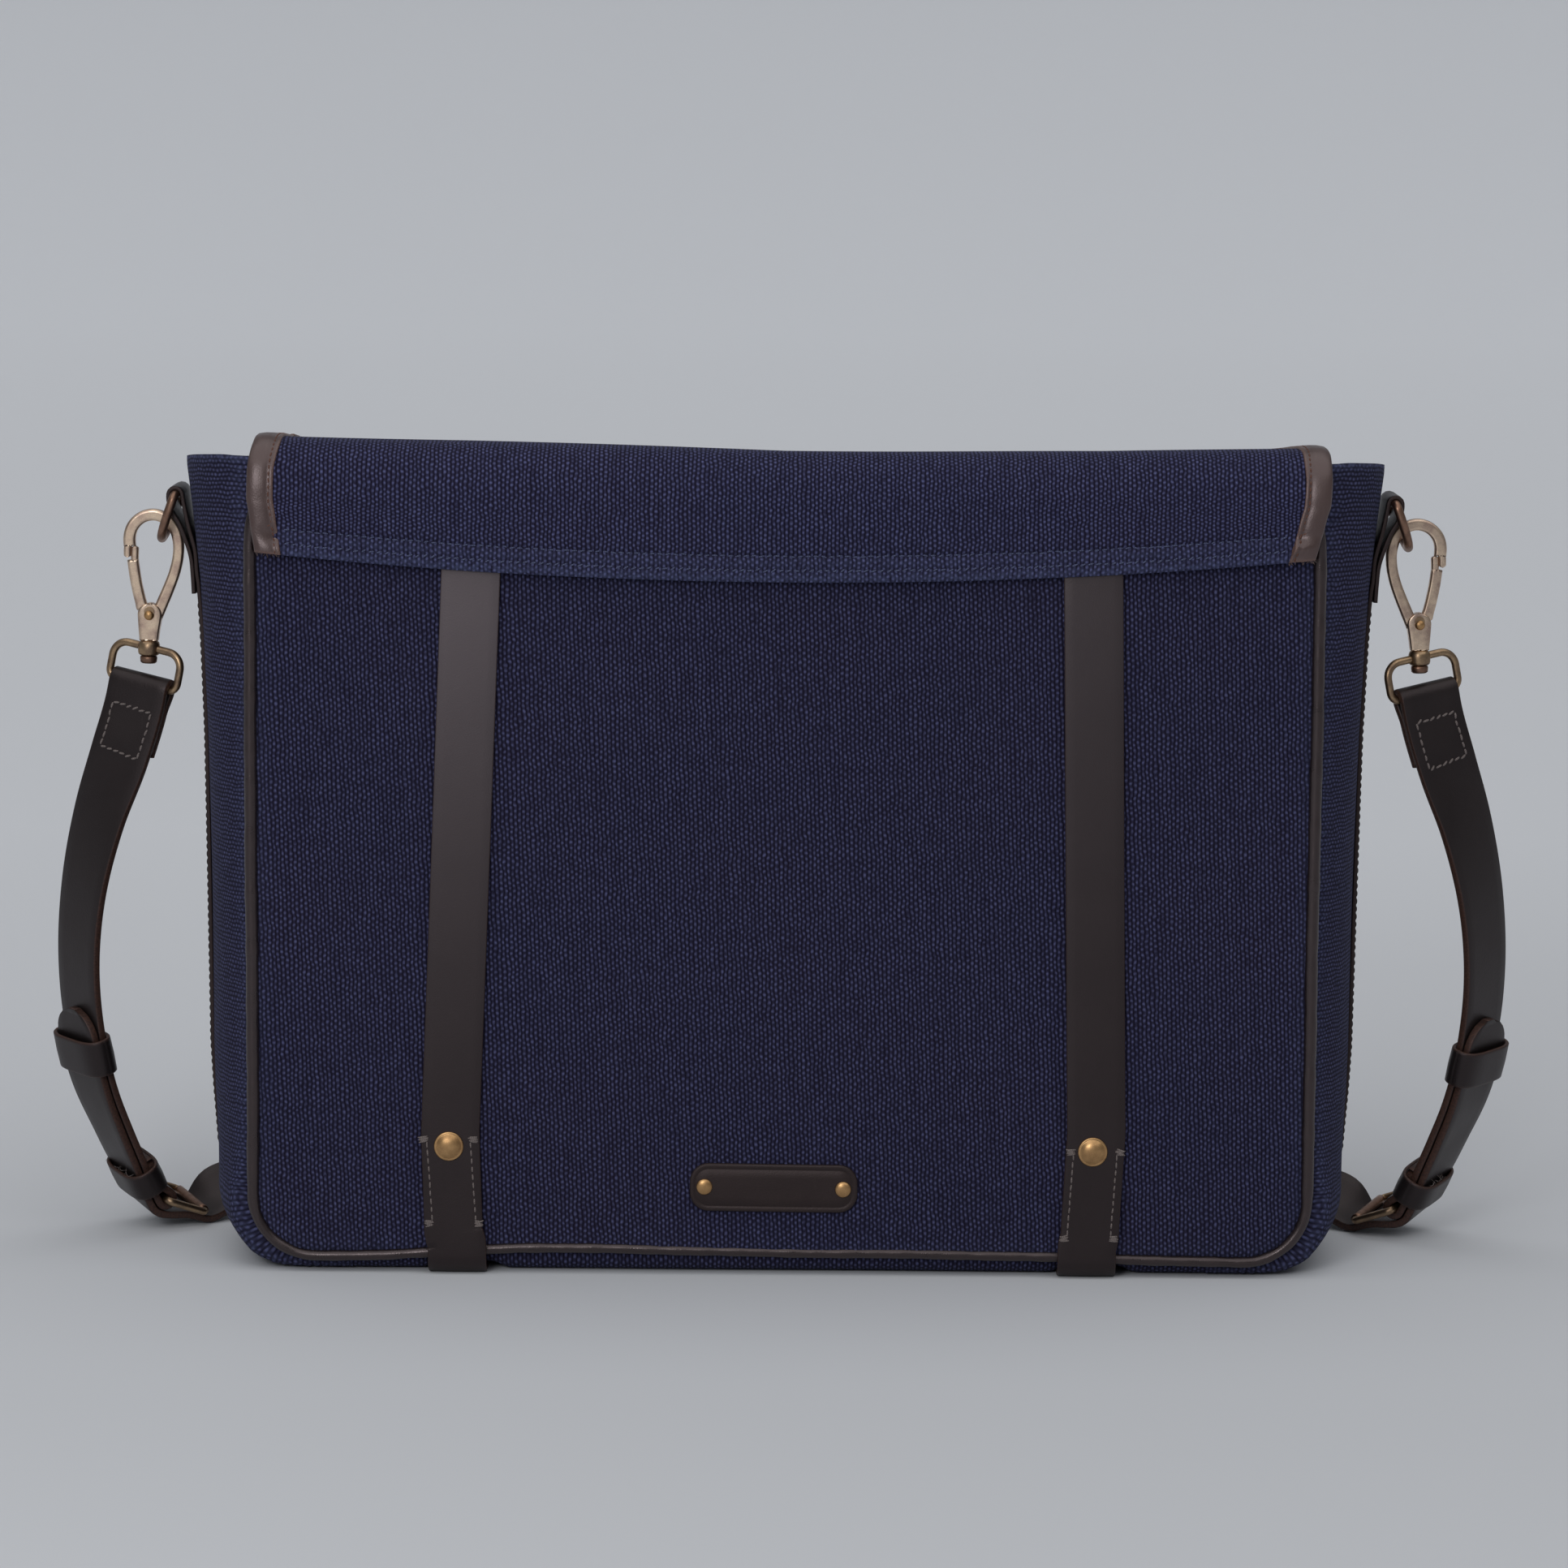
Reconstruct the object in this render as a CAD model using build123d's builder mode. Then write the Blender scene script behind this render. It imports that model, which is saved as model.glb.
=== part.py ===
"""Canvas messenger bag with leather straps, a fold-over flap and a clip-on shoulder strap.

Millimetres. +X is the bag's right seen from its back, -Y is the back panel, +Z is up.
The origin is on the floor, under the middle of the base.
Left-hand pieces (at -X) are built once and mirrored to make the right-hand ones.
"""

import os
from math import cos, radians, sin

from build123d import *

os.makedirs("parts", exist_ok=True)

# ---- driving dimensions -------------------------------------------------------------
BAG_W = 400.0  # across the piping
BAG_D = 100.0  # outer face of the back panel to outer face of the front panel
BODY_TOP = 302.0  # top edge of the panels and gussets
FLAP_TOP = 311.0  # middle of the flap's cloth where it crosses the top
CORNER_R = 25.0  # bottom corners of the panels
CLOTH_T = 2.4  # canvas panel with its interlining
GUSSET_T = 1.8  # canvas gusset
LINING_T = 0.7
BASE_T = 3.2  # doubled canvas under the base
BASE_LENGTH = 345.0
SEAM_Z = 5.0  # height of the bottom seam: the base bellies down below it
PIPING_R = 2.0
LEATHER_T = 2.2  # bag straps and tabs
STRAP_W = 22.0  # bag straps
STRAP_X = 118.5  # middle of the bag straps from the bag's middle
SHOULDER_W = 24.5
SHOULDER_T = 3.0
LAYER = SHOULDER_T + 0.3  # from one strap layer's middle to the next
WIRE_R = 1.5  # buckles and swivel loops
RING_WIRE_R = 1.7

HALF_W = BAG_W / 2 - PIPING_R  # middle of the side seams
HALF_D = BAG_D / 2
PANEL_INSIDE = HALF_D - CLOTH_T
CORNER_X = HALF_W - CORNER_R
CORNER_Z = SEAM_Z + CORNER_R
GUSSET_HALF = 47.0  # half the width of a gusset between its seams

# ---- side gussets: how far they bulge out between their seams ----------------------
BULGE_LOW = 20.0  # at the top of the corner bend
BULGE_GAIN = 9.5  # added up to the top edge
BULGE_BASE = 2.8  # where the gusset meets the base


def bulge_at(height):
    """Bulge of the straight side at a height above the floor."""
    share = (height - CORNER_Z) / (BODY_TOP - CORNER_Z)
    return BULGE_LOW + BULGE_GAIN * share**1.3


def bulge_round(turn):
    """Bulge round the bottom corner, 0 degrees at the side and 90 at the base."""
    return BULGE_BASE + (BULGE_LOW - BULGE_BASE) * cos(radians(turn)) ** 2


def gusset_plane(turn, past):
    """Section of the left gusset, past the bend's middle: x points outwards and y is +Y."""
    c, s = cos(radians(turn)), sin(radians(turn))
    middle = (s * past - CORNER_X, 0, CORNER_Z - c * past)
    return Plane(origin=middle, x_dir=(-c, 0, -s), z_dir=(s, 0, -c))


GUSSET_LEVELS = (200, 100)
CORNER_TURNS = (0, 15, 30, 45, 60, 75, 90)
GUSSET_TAIL = 14.0  # runs on under the bag, where the base cloth laps over it


def gusset_shell(inset, thickness, top, last_turn, tail=0.0):
    """The left gusset's wall, or a layer inside it, from its top round to last_turn."""
    stations = [(0, CORNER_Z - height, bulge_at(height)) for height in (top, *GUSSET_LEVELS)]
    stations += [(turn, 0, bulge_round(turn)) for turn in CORNER_TURNS if turn <= last_turn]
    if tail:
        stations.append((last_turn, tail, bulge_round(last_turn)))
    with BuildPart() as shell:
        for turn, past, bulge in stations:
            with BuildSketch(gusset_plane(turn, past)):
                with BuildLine():
                    edge, crown = CORNER_R - inset, CORNER_R + bulge - inset
                    side = GUSSET_HALF - inset
                    outer = ThreePointArc((edge, -side), (crown, 0), (edge, side))
                    inner = ThreePointArc(
                        (edge - thickness, side - thickness),
                        (crown - thickness, 0),
                        (edge - thickness, thickness - side),
                    )
                    Line(outer @ 1, inner @ 0)
                    Line(inner @ 1, outer @ 0)
                make_face()
        loft(ruled=True)
    return shell.part


def panel_outline(inset, top):
    """A body panel's outline: square at the top, rounded at the two bottom corners."""
    half, low = HALF_W - inset, SEAM_Z + inset
    with BuildSketch(Plane.XZ) as outline:
        with Locations((0, (top + low) / 2)):
            Rectangle(2 * half, top - low)
        fillet(outline.vertices().group_by(Axis.Z)[0], CORNER_R - inset)
    return outline.sketch


def slab(sketch, y_low, y_high):
    """An upright sheet: an XZ outline between two depths."""
    with BuildPart() as sheet:
        with Locations((0, y_high, 0)):
            add(extrude(sketch, amount=y_high - y_low, mode=Mode.PRIVATE))
    return sheet.part


# ---- body ---------------------------------------------------------------------------
RIVET_Z = 49.5
RIVET_R, RIVET_HOLE_R = 5.5, 1.5
RIVET_SPOTS = [(-STRAP_X, RIVET_Z), (STRAP_X, RIVET_Z)]
PATCH_X, PATCH_Z = -2.5, 34.0
PATCH_W, PATCH_H, PATCH_T = 63.0, 18.4, 1.6
PATCH_RIVET_SPOTS = [(PATCH_X - 26.3, PATCH_Z), (PATCH_X + 26.3, PATCH_Z)]
PATCH_RIVET_HOLE_R = 1.0
BACK_HOLES = Plane.XZ.offset(HALF_D + 10)

with BuildPart() as back_panel:
    add(slab(panel_outline(PIPING_R, BODY_TOP), -HALF_D, -PANEL_INSIDE))
    with BuildSketch(BACK_HOLES):
        with Locations(RIVET_SPOTS):
            Circle(RIVET_HOLE_R)
        with Locations(PATCH_RIVET_SPOTS):
            Circle(PATCH_RIVET_HOLE_R)
    extrude(amount=-20, mode=Mode.SUBTRACT)

with BuildPart() as front_panel:
    add(slab(panel_outline(PIPING_R, BODY_TOP), PANEL_INSIDE, HALF_D))

with BuildPart() as side_gusset_left:
    add(gusset_shell(0, GUSSET_T, BODY_TOP, 90, GUSSET_TAIL))

BASE_FLAT = 40.0  # half the depth that rests on the floor
BASE_EDGE_Y, BASE_EDGE_Z = 46.9, 4.4
BASE_LIP = 1.6
BASE_LIP_RISE = 0.35
CHANNEL_W = STRAP_W + 0.6

with BuildPart() as base_panel:
    with BuildSketch(Plane.YZ):
        with BuildLine():
            Polyline(
                (-BASE_EDGE_Y, BASE_EDGE_Z),
                (-BASE_FLAT, 0),
                (BASE_FLAT, 0),
                (BASE_EDGE_Y, BASE_EDGE_Z),
                (BASE_EDGE_Y - BASE_LIP, BASE_EDGE_Z + BASE_LIP_RISE),
                (BASE_FLAT - BASE_LIP, BASE_LIP),
                (BASE_LIP - BASE_FLAT, BASE_LIP),
                (BASE_LIP - BASE_EDGE_Y, BASE_EDGE_Z + BASE_LIP_RISE),
                close=True,
            )
        make_face()
    extrude(amount=BASE_LENGTH / 2, both=True)
    with Locations((0, 0, BASE_T / 2)):  # the second layer, between the gussets' tails
        Box(2 * (CORNER_X - 16), 2 * BASE_FLAT - 8, BASE_T)
    with Locations((-STRAP_X, 0, 0), (STRAP_X, 0, 0)):  # the straps pass under in these
        Box(CHANNEL_W, BAG_D, 2 * (LEATHER_T + 0.05), mode=Mode.SUBTRACT)

with BuildPart() as base_board:
    with BuildSketch(Plane.XY.offset(BASE_T)):
        RectangleRounded(2 * (CORNER_X - 18), 2 * BASE_FLAT - 4, 8)
    extrude(amount=2.4)


def piping(y):
    """Leather-covered cord in the seam round a panel: down one side, along, and up."""
    half, low, top = HALF_W, SEAM_Z, BODY_TOP - 1
    with BuildPart() as cord:
        with BuildLine() as route:
            down = Line((-half, y, top), (-half, y, CORNER_Z))
            near = ThreePointArc(
                down @ 1,
                (-CORNER_X - CORNER_R * cos(radians(45)), y, CORNER_Z - CORNER_R * sin(radians(45))),
                (-CORNER_X, y, low),
            )
            along = Line(near @ 1, (CORNER_X, y, low))
            far = ThreePointArc(
                along @ 1,
                (CORNER_X + CORNER_R * cos(radians(45)), y, CORNER_Z - CORNER_R * sin(radians(45))),
                (half, y, CORNER_Z),
            )
            Line(far @ 1, (half, y, top))
        with BuildSketch(Plane(origin=(-half, y, top), z_dir=(0, 0, -1))):
            Circle(PIPING_R)
        sweep(path=route.wire())
    return cord.part


with BuildPart() as back_piping:
    add(piping(1 - HALF_D))
with BuildPart() as front_piping:
    add(piping(HALF_D - 1))

# ---- inside -------------------------------------------------------------------------
LINING_DROP = 6.0  # the lining stops this far below the top edge
LINING_OUT = PANEL_INSIDE - 0.8  # room for the rivets' washers behind it
LINING_INSET = GUSSET_T + 0.1

with BuildPart() as lining:
    lining_sheet = panel_outline(LINING_INSET, BODY_TOP - LINING_DROP)
    lining_hollow = panel_outline(LINING_INSET + LINING_T, BODY_TOP)
    add(slab(lining_sheet, -LINING_OUT, LINING_OUT))
    lining_core = slab(lining_hollow, LINING_T - LINING_OUT, LINING_OUT - LINING_T)
    add(lining_core, mode=Mode.SUBTRACT)
    with Locations((0, 0, (CORNER_Z + BODY_TOP) / 2)):  # the sides open into the gussets
        Box(
            BAG_W + 10,
            2 * (GUSSET_HALF - LINING_INSET - LINING_T),
            BODY_TOP - CORNER_Z,
            mode=Mode.SUBTRACT,
        )
    add(gusset_shell(LINING_INSET, LINING_T, BODY_TOP - LINING_DROP, 75))
    mirror(about=Plane.YZ)

SLEEVE_W, SLEEVE_TOP, SLEEVE_LOW = 344.0, 245.0, 12.0
SLEEVE_BACK = LINING_T - LINING_OUT
SLEEVE_GAP, SLEEVE_PAD, SLEEVE_SIDE = 22.0, 5.0, 3.0

with BuildPart() as laptop_sleeve:
    sleeve_depth = SLEEVE_GAP + SLEEVE_PAD
    sleeve_mid = (SLEEVE_TOP + SLEEVE_LOW) / 2
    with Locations((0, SLEEVE_BACK + sleeve_depth / 2, sleeve_mid)):
        Box(SLEEVE_W, sleeve_depth, SLEEVE_TOP - SLEEVE_LOW)
    fillet(laptop_sleeve.edges().filter_by(Axis.Z).group_by(Axis.Y)[-1], 3)
    with Locations((0, SLEEVE_BACK + SLEEVE_GAP / 2, sleeve_mid + SLEEVE_SIDE)):
        Box(
            SLEEVE_W - 2 * SLEEVE_SIDE,
            SLEEVE_GAP,
            SLEEVE_TOP - SLEEVE_LOW,
            mode=Mode.SUBTRACT,
        )

POCKET_W, POCKET_TOP, POCKET_LOW = 200.0, 230.0, 110.0
POCKET_GAP, POCKET_T = 10.0, 1.2
POCKET_FRONT = LINING_OUT - LINING_T

with BuildPart() as inner_pocket:
    pocket_depth = POCKET_GAP + POCKET_T
    pocket_mid = (POCKET_TOP + POCKET_LOW) / 2
    with Locations((0, POCKET_FRONT - pocket_depth / 2, pocket_mid)):
        Box(POCKET_W, pocket_depth, POCKET_TOP - POCKET_LOW)
    with Locations((0, POCKET_FRONT - POCKET_GAP / 2, pocket_mid + POCKET_T)):
        Box(
            POCKET_W - 2 * POCKET_T,
            POCKET_GAP,
            POCKET_TOP - POCKET_LOW,
            mode=Mode.SUBTRACT,
        )

# ---- flap hem, rear straps and their rivets ------------------------------------------
HEM_Z, HEM_RISE = 264.0, 9.5  # the hem sags in the middle
FLAP_T = 2.0
FLAP_HALF = 195.5
HINGE_GAP = 3.5  # bare cloth left between the flap's pieces at each fold

FLAP_Y = HALF_D + 4.5  # middle of the flap's cloth where it hangs in front
STRAP_TOP_BACK = HEM_Z + HEM_RISE * (STRAP_X - STRAP_W / 2) ** 2 / FLAP_HALF**2
STRAP_TOP_FRONT = 150.0
STRAP_MID = HALF_D + LEATHER_T / 2
STRAP_OUT = 1.5  # how far the strap stands out to clear the piping

with BuildPart() as wrap_strap_left:
    with BuildSketch(Plane.YZ.offset(-STRAP_X)):
        with BuildLine():
            FilletPolyline(
                (-STRAP_MID, STRAP_TOP_BACK),
                (-STRAP_MID, 18),
                (-STRAP_MID - STRAP_OUT, 11),
                (-STRAP_MID - STRAP_OUT, LEATHER_T / 2),
                (STRAP_MID + STRAP_OUT, LEATHER_T / 2),
                (STRAP_MID + STRAP_OUT, 11),
                (STRAP_MID, 18),
                (STRAP_MID, STRAP_TOP_FRONT),
                radius=2.4,
            )
        trace(line_width=LEATHER_T)
    extrude(amount=STRAP_W / 2, both=True)
    with BuildSketch(BACK_HOLES):
        with Locations(RIVET_SPOTS[0]):
            Circle(RIVET_HOLE_R)
    extrude(amount=-20, mode=Mode.SUBTRACT)


def domed_rivet(head_r, head_h, shank_r, face, depth):
    """A rivet on the face y = -face: domed head outside, shank and a flat washer inside."""
    with BuildPart() as rivet:
        with BuildSketch(Plane.YZ):
            with BuildLine():
                dome = ThreePointArc(
                    (-face - head_h, 0), (-face - head_h * 0.72, head_r * 0.6), (-face, head_r)
                )
                rim = Polyline(
                    dome @ 1,
                    (-face, shank_r),
                    (depth - face, shank_r),
                    (depth - face, head_r * 0.6),
                    (depth + 0.6 - face, head_r * 0.6),
                    (depth + 0.6 - face, 0),
                )
                Line(rim @ 1, dome @ 0)
            make_face()
        revolve(axis=Axis.Y)
    return rivet.part


def placed(part, x, y, z):
    """A copy of a part moved by x, y and z."""
    return Pos(x, y, z) * part


strap_rivet = domed_rivet(RIVET_R, 2.2, RIVET_HOLE_R, HALF_D + LEATHER_T, LEATHER_T + CLOTH_T)
with BuildPart() as wrap_strap_rivets:
    for x, z in RIVET_SPOTS:
        add(placed(strap_rivet, x, 0, z))

with BuildPart() as label_patch:
    with BuildSketch(Plane.XZ.offset(HALF_D)):
        with Locations((PATCH_X, PATCH_Z)):
            SlotOverall(PATCH_W, PATCH_H)
        with Locations(PATCH_RIVET_SPOTS):
            Circle(PATCH_RIVET_HOLE_R, mode=Mode.SUBTRACT)
    extrude(amount=PATCH_T)
    with BuildSketch(Plane.XZ.offset(HALF_D + PATCH_T)):  # a plain pressed line
        with Locations((PATCH_X, PATCH_Z)):
            SlotOverall(PATCH_W - 4.0, PATCH_H - 4.0)
            SlotOverall(PATCH_W - 5.2, PATCH_H - 5.2, mode=Mode.SUBTRACT)
    extrude(amount=-0.3, mode=Mode.SUBTRACT)

patch_rivet = domed_rivet(3.0, 1.2, PATCH_RIVET_HOLE_R, HALF_D + PATCH_T, PATCH_T + CLOTH_T)
with BuildPart() as label_rivets:
    for x, z in PATCH_RIVET_SPOTS:
        add(placed(patch_rivet, x, 0, z))


def flap_outline(inset, low, top, corner=0.0):
    """The flap's outline seen from the back or front, between two heights."""
    with BuildSketch(Plane.XZ) as outline:
        with Locations((0, (low + top) / 2)):
            Rectangle(2 * (FLAP_HALF - inset), top - low)
        if corner:
            fillet(outline.vertices().group_by(Axis.Z)[0], corner - inset)
    return outline.sketch


def hem_outline(inset):
    """The rear panel's outline: straight sides, and a hem that sags in the middle."""
    half, top = FLAP_HALF - inset, FLAP_TOP - HINGE_GAP
    with BuildSketch(Plane.XZ) as outline:
        with BuildLine():
            hem = ThreePointArc((-half, HEM_Z + HEM_RISE), (0, HEM_Z), (half, HEM_Z + HEM_RISE))
            Polyline(hem @ 1, (half, top), (-half, top), hem @ 0)
        make_face()
    return outline.sketch


BINDING_W, BINDING_T = 8.5, 0.8
REAR_FACE = HALF_D + FLAP_T

with BuildPart() as flap_rear_panel:
    add(slab(hem_outline(0), -REAR_FACE, -HALF_D))

with BuildPart() as flap_rear_bindings:
    for side in (-1, 1):
        low, top = HEM_Z + HEM_RISE, FLAP_TOP - HINGE_GAP
        with Locations((side * (FLAP_HALF - BINDING_W / 2), -REAR_FACE - BINDING_T / 2, (low + top) / 2)):
            Box(BINDING_W, BINDING_T, top - low)

TOP_BACK = 1 + HINGE_GAP - REAR_FACE  # rear end of the top piece
TOP_FRONT = FLAP_Y - HINGE_GAP
TOP_MID, TOP_LENGTH = (TOP_BACK + TOP_FRONT) / 2, TOP_FRONT - TOP_BACK

with BuildPart() as flap_top_panel:
    with Locations((0, TOP_MID, FLAP_TOP)):
        Box(2 * FLAP_HALF, TOP_LENGTH, FLAP_T)

with BuildPart() as flap_top_bindings:
    for side in (-1, 1):
        with Locations(
            (side * (FLAP_HALF - BINDING_W / 2), TOP_MID, FLAP_TOP + FLAP_T / 2 + BINDING_T / 2)
        ):
            Box(BINDING_W, TOP_LENGTH, BINDING_T)

FLAP_LOW, FLAP_CORNER = 85.0, 36.0
FLAP_FACE = FLAP_Y + FLAP_T / 2
CLOSURE_RIVETS = [(side * STRAP_X, z) for side in (-1, 1) for z in (150.0, 170.0)]
CLOSURE_HOLE_R = 1.2

with BuildPart() as flap_front_panel:
    front_outline = flap_outline(0, FLAP_LOW, FLAP_TOP - HINGE_GAP, FLAP_CORNER)
    add(slab(front_outline, FLAP_Y - FLAP_T / 2, FLAP_FACE))
    with BuildSketch(BACK_HOLES):
        with Locations(CLOSURE_RIVETS):
            Circle(CLOSURE_HOLE_R)
    extrude(amount=-3 * BAG_D, mode=Mode.SUBTRACT)

with BuildPart() as flap_front_binding:
    add(slab(front_outline, FLAP_FACE, FLAP_FACE + BINDING_T))
    hollow = flap_outline(BINDING_W, FLAP_LOW + BINDING_W, FLAP_TOP, FLAP_CORNER)
    add(slab(hollow, FLAP_FACE - 1, FLAP_FACE + 2), mode=Mode.SUBTRACT)

# ---- closures on the flap: strap, buckle, tongue, keeper and a hidden magnetic snap ----
CLOSURE_T = 1.8
BUCKLE_PLANE_Y = FLAP_FACE + 3.3  # middle of the buckle's wire
CLOSURE_WIRE_R = 1.2
HEEL_Z, TOE_Z = 130.0, 106.0
CLOSURE_TOP = 178.0
TONGUE_LOW, TONGUE_TOP = 38.0, 166.0
FOLD_R = CLOSURE_WIRE_R + CLOSURE_T / 2 + 0.05
SNAP_Z, SNAP_R = 60.0, 7.0
SNAP_POST_R, SNAP_HOLE_R = 2.0, 2.4
LOW_LAYER = FLAP_FACE + CLOSURE_T / 2
PRONG_SLOT = 4.0

def wire_frame(plane, half, reach, wire_r, corner):
    """A rectangular wire frame: its first bar lies on the plane's x axis, the other at reach."""
    with BuildPart() as frame:
        with BuildLine(plane):
            route = FilletPolyline(
                (half, 0), (half, reach), (-half, reach), (-half, 0), radius=corner, close=True
            )
        with BuildSketch(Plane(origin=route @ 0, z_dir=route % 0)):
            Circle(wire_r)
        sweep(path=route)
    return frame.part


with BuildPart() as closure_strap_left:
    with BuildSketch(Plane.YZ.offset(-STRAP_X)):
        with BuildLine():
            out_y, in_y = BUCKLE_PLANE_Y + FOLD_R, BUCKLE_PLANE_Y - FOLD_R
            outer = Polyline(
                (LOW_LAYER + CLOSURE_T + 0.05, CLOSURE_TOP),
                (LOW_LAYER + CLOSURE_T + 0.05, HEEL_Z + 14),
                (out_y, HEEL_Z + 6),
                (out_y, HEEL_Z),
            )
            fold = ThreePointArc(outer @ 1, (BUCKLE_PLANE_Y, HEEL_Z - FOLD_R), (in_y, HEEL_Z))
            Polyline(fold @ 1, (in_y, HEEL_Z + 3), (LOW_LAYER, HEEL_Z + 8), (LOW_LAYER, CLOSURE_TOP))
        trace(line_width=CLOSURE_T)
    extrude(amount=STRAP_W / 2, both=True)
    with Locations((-STRAP_X, BUCKLE_PLANE_Y, HEEL_Z - 1)):
        Box(PRONG_SLOT, 3 * FOLD_R, 15, mode=Mode.SUBTRACT)
    with BuildSketch(BACK_HOLES):
        with Locations(CLOSURE_RIVETS[:2]):
            Circle(CLOSURE_HOLE_R)
    extrude(amount=-3 * BAG_D, mode=Mode.SUBTRACT)

with BuildPart() as closure_buckle_left:
    buckle_plane = Plane(origin=(-STRAP_X, BUCKLE_PLANE_Y, HEEL_Z), x_dir=(1, 0, 0), z_dir=(0, 1, 0))
    frame_half = STRAP_W / 2 + 0.8 + CLOSURE_WIRE_R
    add(wire_frame(buckle_plane, frame_half, HEEL_Z - TOE_Z, CLOSURE_WIRE_R, 2.5))

with BuildPart() as closure_tongue_left:
    over_y = BUCKLE_PLANE_Y + FOLD_R + CLOSURE_T + 0.1
    under_y = BUCKLE_PLANE_Y - CLOSURE_WIRE_R - CLOSURE_T / 2 - 0.15
    hang_y = FLAP_FACE + BINDING_T + CLOSURE_T / 2 + 0.05
    with BuildSketch(Plane.YZ.offset(-STRAP_X)):
        with BuildLine():
            Polyline(
                (hang_y, TONGUE_LOW),
                (hang_y, 96),
                (under_y, 101),
                (under_y, TOE_Z + 4),
                (over_y, HEEL_Z - 4),
                (over_y, HEEL_Z + 8),
                (over_y - 1.2, HEEL_Z + 16),
                (over_y - 1.2, TONGUE_TOP),
            )
        trace(line_width=CLOSURE_T)
    extrude(amount=STRAP_W / 2, both=True)
    with BuildSketch(BACK_HOLES):
        with Locations((-STRAP_X, TOE_Z + 15)):  # the hole in use, worn long by its prong
            SlotOverall(18, PRONG_SLOT, rotation=90)
        with Locations([(-STRAP_X, TOE_Z + step) for step in (-14, -28, -59)]):
            Circle(1.6)
    extrude(amount=-3 * BAG_D, mode=Mode.SUBTRACT)
    tip_edges = closure_tongue_left.edges().filter_by(Axis.Y, tolerance=5)
    fillet(tip_edges.group_by(Axis.Z)[-1], 9)

PRONG_R = 1.0

with BuildPart() as closure_prong_left:
    with BuildSketch(Plane.YZ.offset(-STRAP_X)):
        with Locations((BUCKLE_PLANE_Y, HEEL_Z)):
            Circle(CLOSURE_WIRE_R + 1.3)
            Circle(CLOSURE_WIRE_R + 0.1, mode=Mode.SUBTRACT)
    extrude(amount=PRONG_SLOT / 2 - 0.4, both=True)
    prong_top = (-STRAP_X, BUCKLE_PLANE_Y + CLOSURE_WIRE_R + 1.0, HEEL_Z - 1.4)
    prong_tip = (-STRAP_X, BUCKLE_PLANE_Y + CLOSURE_WIRE_R + PRONG_R + 0.3, TOE_Z - 2.5)
    with BuildLine() as prong_route:
        Line(prong_top, prong_tip)
    with BuildSketch(Plane(origin=prong_top, z_dir=prong_route.line % 0)):
        Circle(PRONG_R)
    sweep(path=prong_route.wire())

KEEPER_T = 1.6


def strap_keeper(plane, width, low, high, length):
    """A leather loop round a strap: inner box from low to high along the plane's y axis."""
    with BuildPart() as loop:
        with BuildSketch(plane):
            with Locations((0, (low + high) / 2)):
                RectangleRounded(width + 2 * KEEPER_T, high - low + 2 * KEEPER_T, 2.2)
                RectangleRounded(width, high - low, 0.8, mode=Mode.SUBTRACT)
        extrude(amount=length / 2, both=True)
    return loop.part


with BuildPart() as closure_keepers:
    for side in (-1, 1):
        keeper_plane = Plane(
            origin=(side * STRAP_X, 0, HEEL_Z + 28), x_dir=(1, 0, 0), z_dir=(0, 0, 1)
        )
        front = over_y - 1.2 + CLOSURE_T / 2 + 0.3
        with BuildSketch(keeper_plane):
            with Locations((0, (FLAP_FACE + front + KEEPER_T) / 2)):
                Rectangle(STRAP_W + 2 * KEEPER_T + 0.6, front + KEEPER_T - FLAP_FACE)
            with Locations((0, (FLAP_FACE + front) / 2)):
                Rectangle(STRAP_W + 0.6, front - FLAP_FACE, mode=Mode.SUBTRACT)
        extrude(amount=5, both=True)

with BuildPart() as closure_rivets:
    for x, z in CLOSURE_RIVETS:
        with BuildSketch(Plane.XZ.offset(-(FLAP_Y - FLAP_T / 2))):
            with Locations((x, z)):
                Circle(CLOSURE_HOLE_R)
        extrude(amount=-(FLAP_T + 2 * CLOSURE_T + 0.1))
        with BuildSketch(Plane.XZ.offset(-(FLAP_Y - FLAP_T / 2))):
            with Locations((x, z)):
                Circle(3.2)
        extrude(amount=0.4)
        with BuildSketch(Plane.XZ.offset(-(FLAP_FACE + 2 * CLOSURE_T + 0.06))):
            with Locations((x, z)):
                Circle(3.2)
        extrude(amount=-0.6)

STRAP_FACE = HALF_D + LEATHER_T
TONGUE_BACK = hang_y - CLOSURE_T / 2

with BuildPart() as snap_sockets:
    with BuildSketch(Plane.XZ.offset(-STRAP_FACE)):
        with Locations((-STRAP_X, SNAP_Z), (STRAP_X, SNAP_Z)):
            Circle(SNAP_R)
            Circle(SNAP_HOLE_R, mode=Mode.SUBTRACT)
    extrude(amount=-1.6)

with BuildPart() as snap_studs:
    with BuildSketch(Plane.XZ.offset(-TONGUE_BACK)):
        with Locations((-STRAP_X, SNAP_Z), (STRAP_X, SNAP_Z)):
            Circle(SNAP_R)
    extrude(amount=TONGUE_BACK - STRAP_FACE - 2.0)
    with BuildSketch(Plane.XZ.offset(-TONGUE_BACK)):
        with Locations((-STRAP_X, SNAP_Z), (STRAP_X, SNAP_Z)):
            Circle(SNAP_POST_R)
    extrude(amount=TONGUE_BACK - STRAP_FACE - 0.5)

# ---- D-rings and the tabs that hold them ----------------------------------------------
TAB_W, TAB_T = 24.0, 1.4
TAB_LOW = 42.0
BAR_X, BAR_Z = -231.2, 291.5  # the ring's straight bar
RING_HALF, RING_SIDE, RING_CORNER = 14.6, 4.0, 2.5
RING_TILT = 20.0  # the ring leans out at the bottom
TAB_FOLD_R = RING_WIRE_R + 0.15 + TAB_T / 2

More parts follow.
